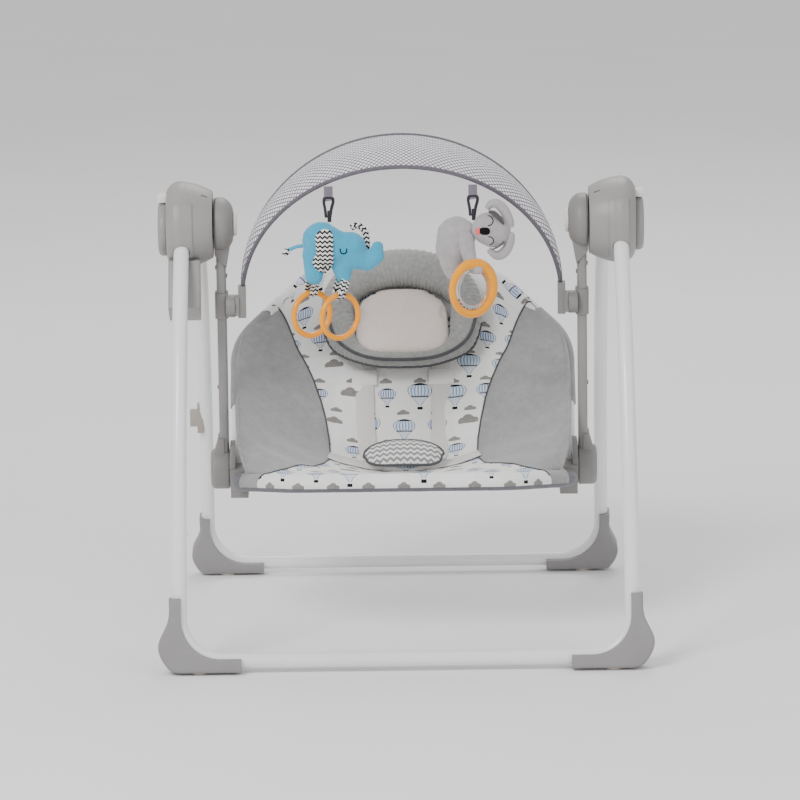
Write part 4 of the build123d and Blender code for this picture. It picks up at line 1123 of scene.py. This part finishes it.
hookLow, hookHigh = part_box("koala_hook")
koalaAt = Vector(((hookLow.x + hookHigh.x) / 2, (hookLow.y + hookHigh.y) / 2 - 0.002, hookLow.z))
koala = dict(
    body=[(-22, 6, -25, 26), (-26, 6, -41, 24), (-25, 5, -58, 17)],
    shoulder=[(-12, 2, -16, 14), (-14, 0, -24, 14)],
    leg=[(-30, 0, -60, 14), (-27, -6, -74, 9.5), (-18, -8, -80, 6.5)],
    farLeg=[(-24, 10, -62, 12), (-20, 8, -76, 8)],
)
koalaBody = blob("koala_plush", list(koala.values()), 0.72, 0.0022, koalaPlush, koalaAt)
settle(koalaBody, "koala", "toy_grey", "koala_toy")
armBalls = [[(-10, -8, -28, 11.5), (-5, -14, -52, 9.5), (-3, -16, -64, 8), (7, -17, -67, 6)]]
koalaArm = blob("koala_arm", armBalls, 0.8, 0.0018, koalaPlush, koalaAt)
settle(koalaArm, "koala", "toy_grey")
headBalls = [[(20, 0, -15, 22), (27, 0, -18, 22.5)], [(14, -2, -16, 17)]]
koalaHead = blob("koala_head", headBalls, 0.78, 0.002, koalaPlush, koalaAt)
settle(koalaHead, "koala", "toy_grey")
for word, points in (("upper", [(18, 12), (25, 19), (34, 17), (42, 7), (48, -6), (49, -13)]),
                     ("lower", [(20, -42), (28, -49), (36, -49), (44, -41), (49, -28), (49, -20)])):
    rim = smoothPath(local(koalaAt, points, -0.004), 8)
    count = len(rim)
    grow = [0.5 + 0.6 * math.sin(math.pi * (i + 2) / (count + 3)) for i in range(count)]
    ear = sweep("koala_ear_" + word, rim, roundSection(0.0062, 16), koalaPlush, scales=grow)
    settle(ear, "koala", "toy_grey")
# dark sweeps inside the ears: painted shadow in the upper ear's hollow and in the lower ear's fold
innerEar = smoothPath(local(koalaAt, [(20, 9.5), (27, 7.5), (34, 0.5), (40, -7.5)], -0.0125), 8)
count = len(innerEar)
grow = [0.35 + 0.8 * math.sin(math.pi * (i + 1) / (count + 1)) for i in range(count)]
inner = sweep("koala_ear_inner_shadow", innerEar, [(a, b * 0.6) for a, b in roundSection(0.0034, 12)], koalaEarShadow,
              scales=grow)
settle(inner, "koala", "toy_grey")
earFoldShadowPath = smoothPath(local(koalaAt, [(24, -40.5), (31, -38), (37, -33.5), (40.5, -30)], -0.0120), 8)
earFoldShadow = sweep("koala_ear_fold_shadow", earFoldShadowPath, [(a, b * 0.5) for a, b in roundSection(0.0012, 10)], koalaEarShadow)
settle(earFoldShadow, "koala", "toy_grey")

noseShape, mouthShape = [], []
for t in circle(40):
    across = math.copysign(abs(math.cos(t)) ** 0.7, math.cos(t))
    up = math.copysign(abs(math.sin(t)) ** 0.8, math.sin(t))
    noseShape.append((14.8 + 6.8 * across, -15.6 + 4.9 * up))
for t in circle(32):
    reach = 4.2 if math.cos(t) < 0 else 2.0
    mouthShape.append((6.8 + reach * math.cos(t), -16.2 + 4.8 * math.sin(t)))
nose = patch("koala_nose", koalaHead, local(koalaAt, noseShape), blackThread, 0.0008, 0.0016)
settle(nose, "koala", "dial_white")
mouth = patch("koala_mouth", koalaHead, local(koalaAt, mouthShape), pinkFelt, 0.0005, 0.0008)
settle(mouth, "koala", "dial_white")
eyeLines = dict(
    upper=[(19.0, 3.4), (22.5, 2.6), (25.3, -0.6), (25.6, -3.8), (23.2, -7.2), (18.8, -8.6)],
    lower=[(19.3, -23.2), (22.8, -23.4), (25.9, -26.6), (26.2, -29.6), (24.4, -32.8), (21.2, -34.4)],
)
for word, points in eyeLines.items():
    lid = stitched("koala_eye_" + word, koalaHead, local(koalaAt, points), 0.0006, blackThread)
    settle(lid, "koala", "dial_white")

# yellow ring with a clear bead tube inside it
ringLow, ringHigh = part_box("koala_ring")
ringAt = (ringLow + ringHigh) / 2
ringPath, ringGrow, tubePath = [], [], []
for angle in circle(120):
    flat = along * math.cos(angle) + Vector((0, 0, 1.04)) * math.sin(angle)
    ringPath.append(ringAt + flat * 0.0318)
    ringGrow.append(0.96 + 0.24 * math.cos(angle - 0.4))
    tubePath.append(ringAt + flat * 0.0242 - depth * 0.0015)
ringSection = [(a, b * 0.9) for a, b in roundSection(0.0066, 18)]
yellowRing = sweep("koala_ring_yellow", ringPath, ringSection, yellowPlush, closed=True, scales=ringGrow,
                   sideways=[(p - ringAt).normalized() for p in ringPath])
settle(yellowRing, "koala", "ring_yellow", "koala_ring")
clearTube = sweep("koala_ring_rattle", tubePath, roundSection(0.0026, 14), clearPlastic, closed=True,
                  sideways=[(p - ringAt).normalized() for p in tubePath])
settle(clearTube, "koala", "dial_white")
beadColours = dict(orange=("#dd4817", "#f06428"), green=("#377c13", "#539923"), white=("#dad8d2", "#f2f0ec"))
for index, (word, (dark, light)) in enumerate(beadColours.items()):
    beadMaterial = mouldedPlastic("bead_plastic_" + word, dark, light, 0.25, 0.02)
    beads = []
    for step in range(7):
        stray = noise.noise(Vector((step * 3.1, index, 0)))
        angle = math.radians(205 + 9 * (step * 3 + index) / 2 + 6 * stray)
        flat = along * math.cos(angle) + Vector((0, 0, 1.04)) * math.sin(angle)
        place = Matrix.Translation(ringAt + flat * 0.0256 - depth * 0.0015) @ Matrix.Diagonal((1, 1, 0.85, 1))
        bm = bmesh.new()
        bmesh.ops.create_icosphere(bm, subdivisions=2, radius=0.0015, matrix=place)
        beads.append(fromMesh(bm, "bead"))
    settle(join("rattle_beads_" + word, beads, beadMaterial), "koala", "dial_white")
print("koala done")

# webbing tab and C-hook above each toy
hookShape = [(-3.5, -25), (-4.5, -14), (-6, -5), (-5, 0.5), (0, 1.6), (5.2, 0.5), (6, -5), (3.6, -14),
             (1.6, -26)]
hookSection = [(a, b * 1.5) for a, b in roundSection(0.0015, 12)]
for toy in ("elephant", "koala"):
    low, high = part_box(toy + "_hook")
    topMiddle = Vector(((low.x + high.x) / 2, (low.y + high.y) / 2, high.z))
    tabPath = evenly(local(topMiddle, [(0, -1), (0, -14), (1, -20)]), 0.002)
    tab = sweep(toy + "_tab", tabPath, strapSection(0.0115, 0.0022), tabWebbing, sideways=Vector((1, 0, 0)))
    settle(tab, toy, "webbing_white", toy + "_hook")
    ringTop = topMiddle - Vector((0, 0, 0.017))
    hookPath = smoothPath(local(ringTop, hookShape), 8)
    hook = sweep(toy + "_c_hook", evenly(hookPath, 0.0012), hookSection, hookStrap)
    settle(hook, toy, "bow_dark")
    strapPath = local(ringTop, [(0.8, -16), (1, -30)])
    strapPath.append(Vector((strapPath[-1].x, strapPath[-1].y, low.z - 0.004)))
    strapDown = sweep(toy + "_hook_strap", evenly(strapPath, 0.002), strapSection(0.0052, 0.002), hookStrap,
                      sideways=Vector((1, 0, 0)))
    settle(strapDown, toy, "bow_dark")
print("hooks done")


# ---- floor and light

bpy.ops.mesh.primitive_plane_add(size=40, location=(0, 0, 0))
floor = bpy.context.active_object
floor.name = "studio_floor"
floorMaterial, floorTree, floorShader = newMaterial("studio_paper_white", Roughness=0.9,
                                                    Specular_IOR_Level=0.1)
paper = add(floorTree, "TexNoise", {"Vector": add(floorTree, "TexCoord").outputs["Object"], "Scale": 3.0})
floorTree.links.new(blendColour(floorTree, paper, "#efefef", "#f5f5f5"), floorShader.inputs["Base Color"])
floor.data.materials.append(floorMaterial)

world = bpy.data.worlds.new("studio")
bpy.context.scene.world = world
world.use_nodes = True
world.node_tree.nodes["Background"].inputs[0].default_value = (1, 1, 1, 1)
world.node_tree.nodes["Background"].inputs[1].default_value = 0.8
lamps = [("key", (-1.7, -2.4, 2.8), 1.2, 95), ("fill", (2.4, -2.4, 1.8), 2.2, 22),
         ("rim", (0.4, 2.4, 2.8), 1.6, 40)]
for name, spot, size, power in lamps:
    lightData = bpy.data.lights.new(name, "AREA")
    lightData.size = size
    lightData.energy = power
    light = bpy.data.objects.new(name, lightData)
    light.location = spot
    light.rotation_euler = (Vector((0, 0, 0.35)) - Vector(spot)).to_track_quat("-Z", "Y").to_euler()
    bpy.context.scene.collection.objects.link(light)
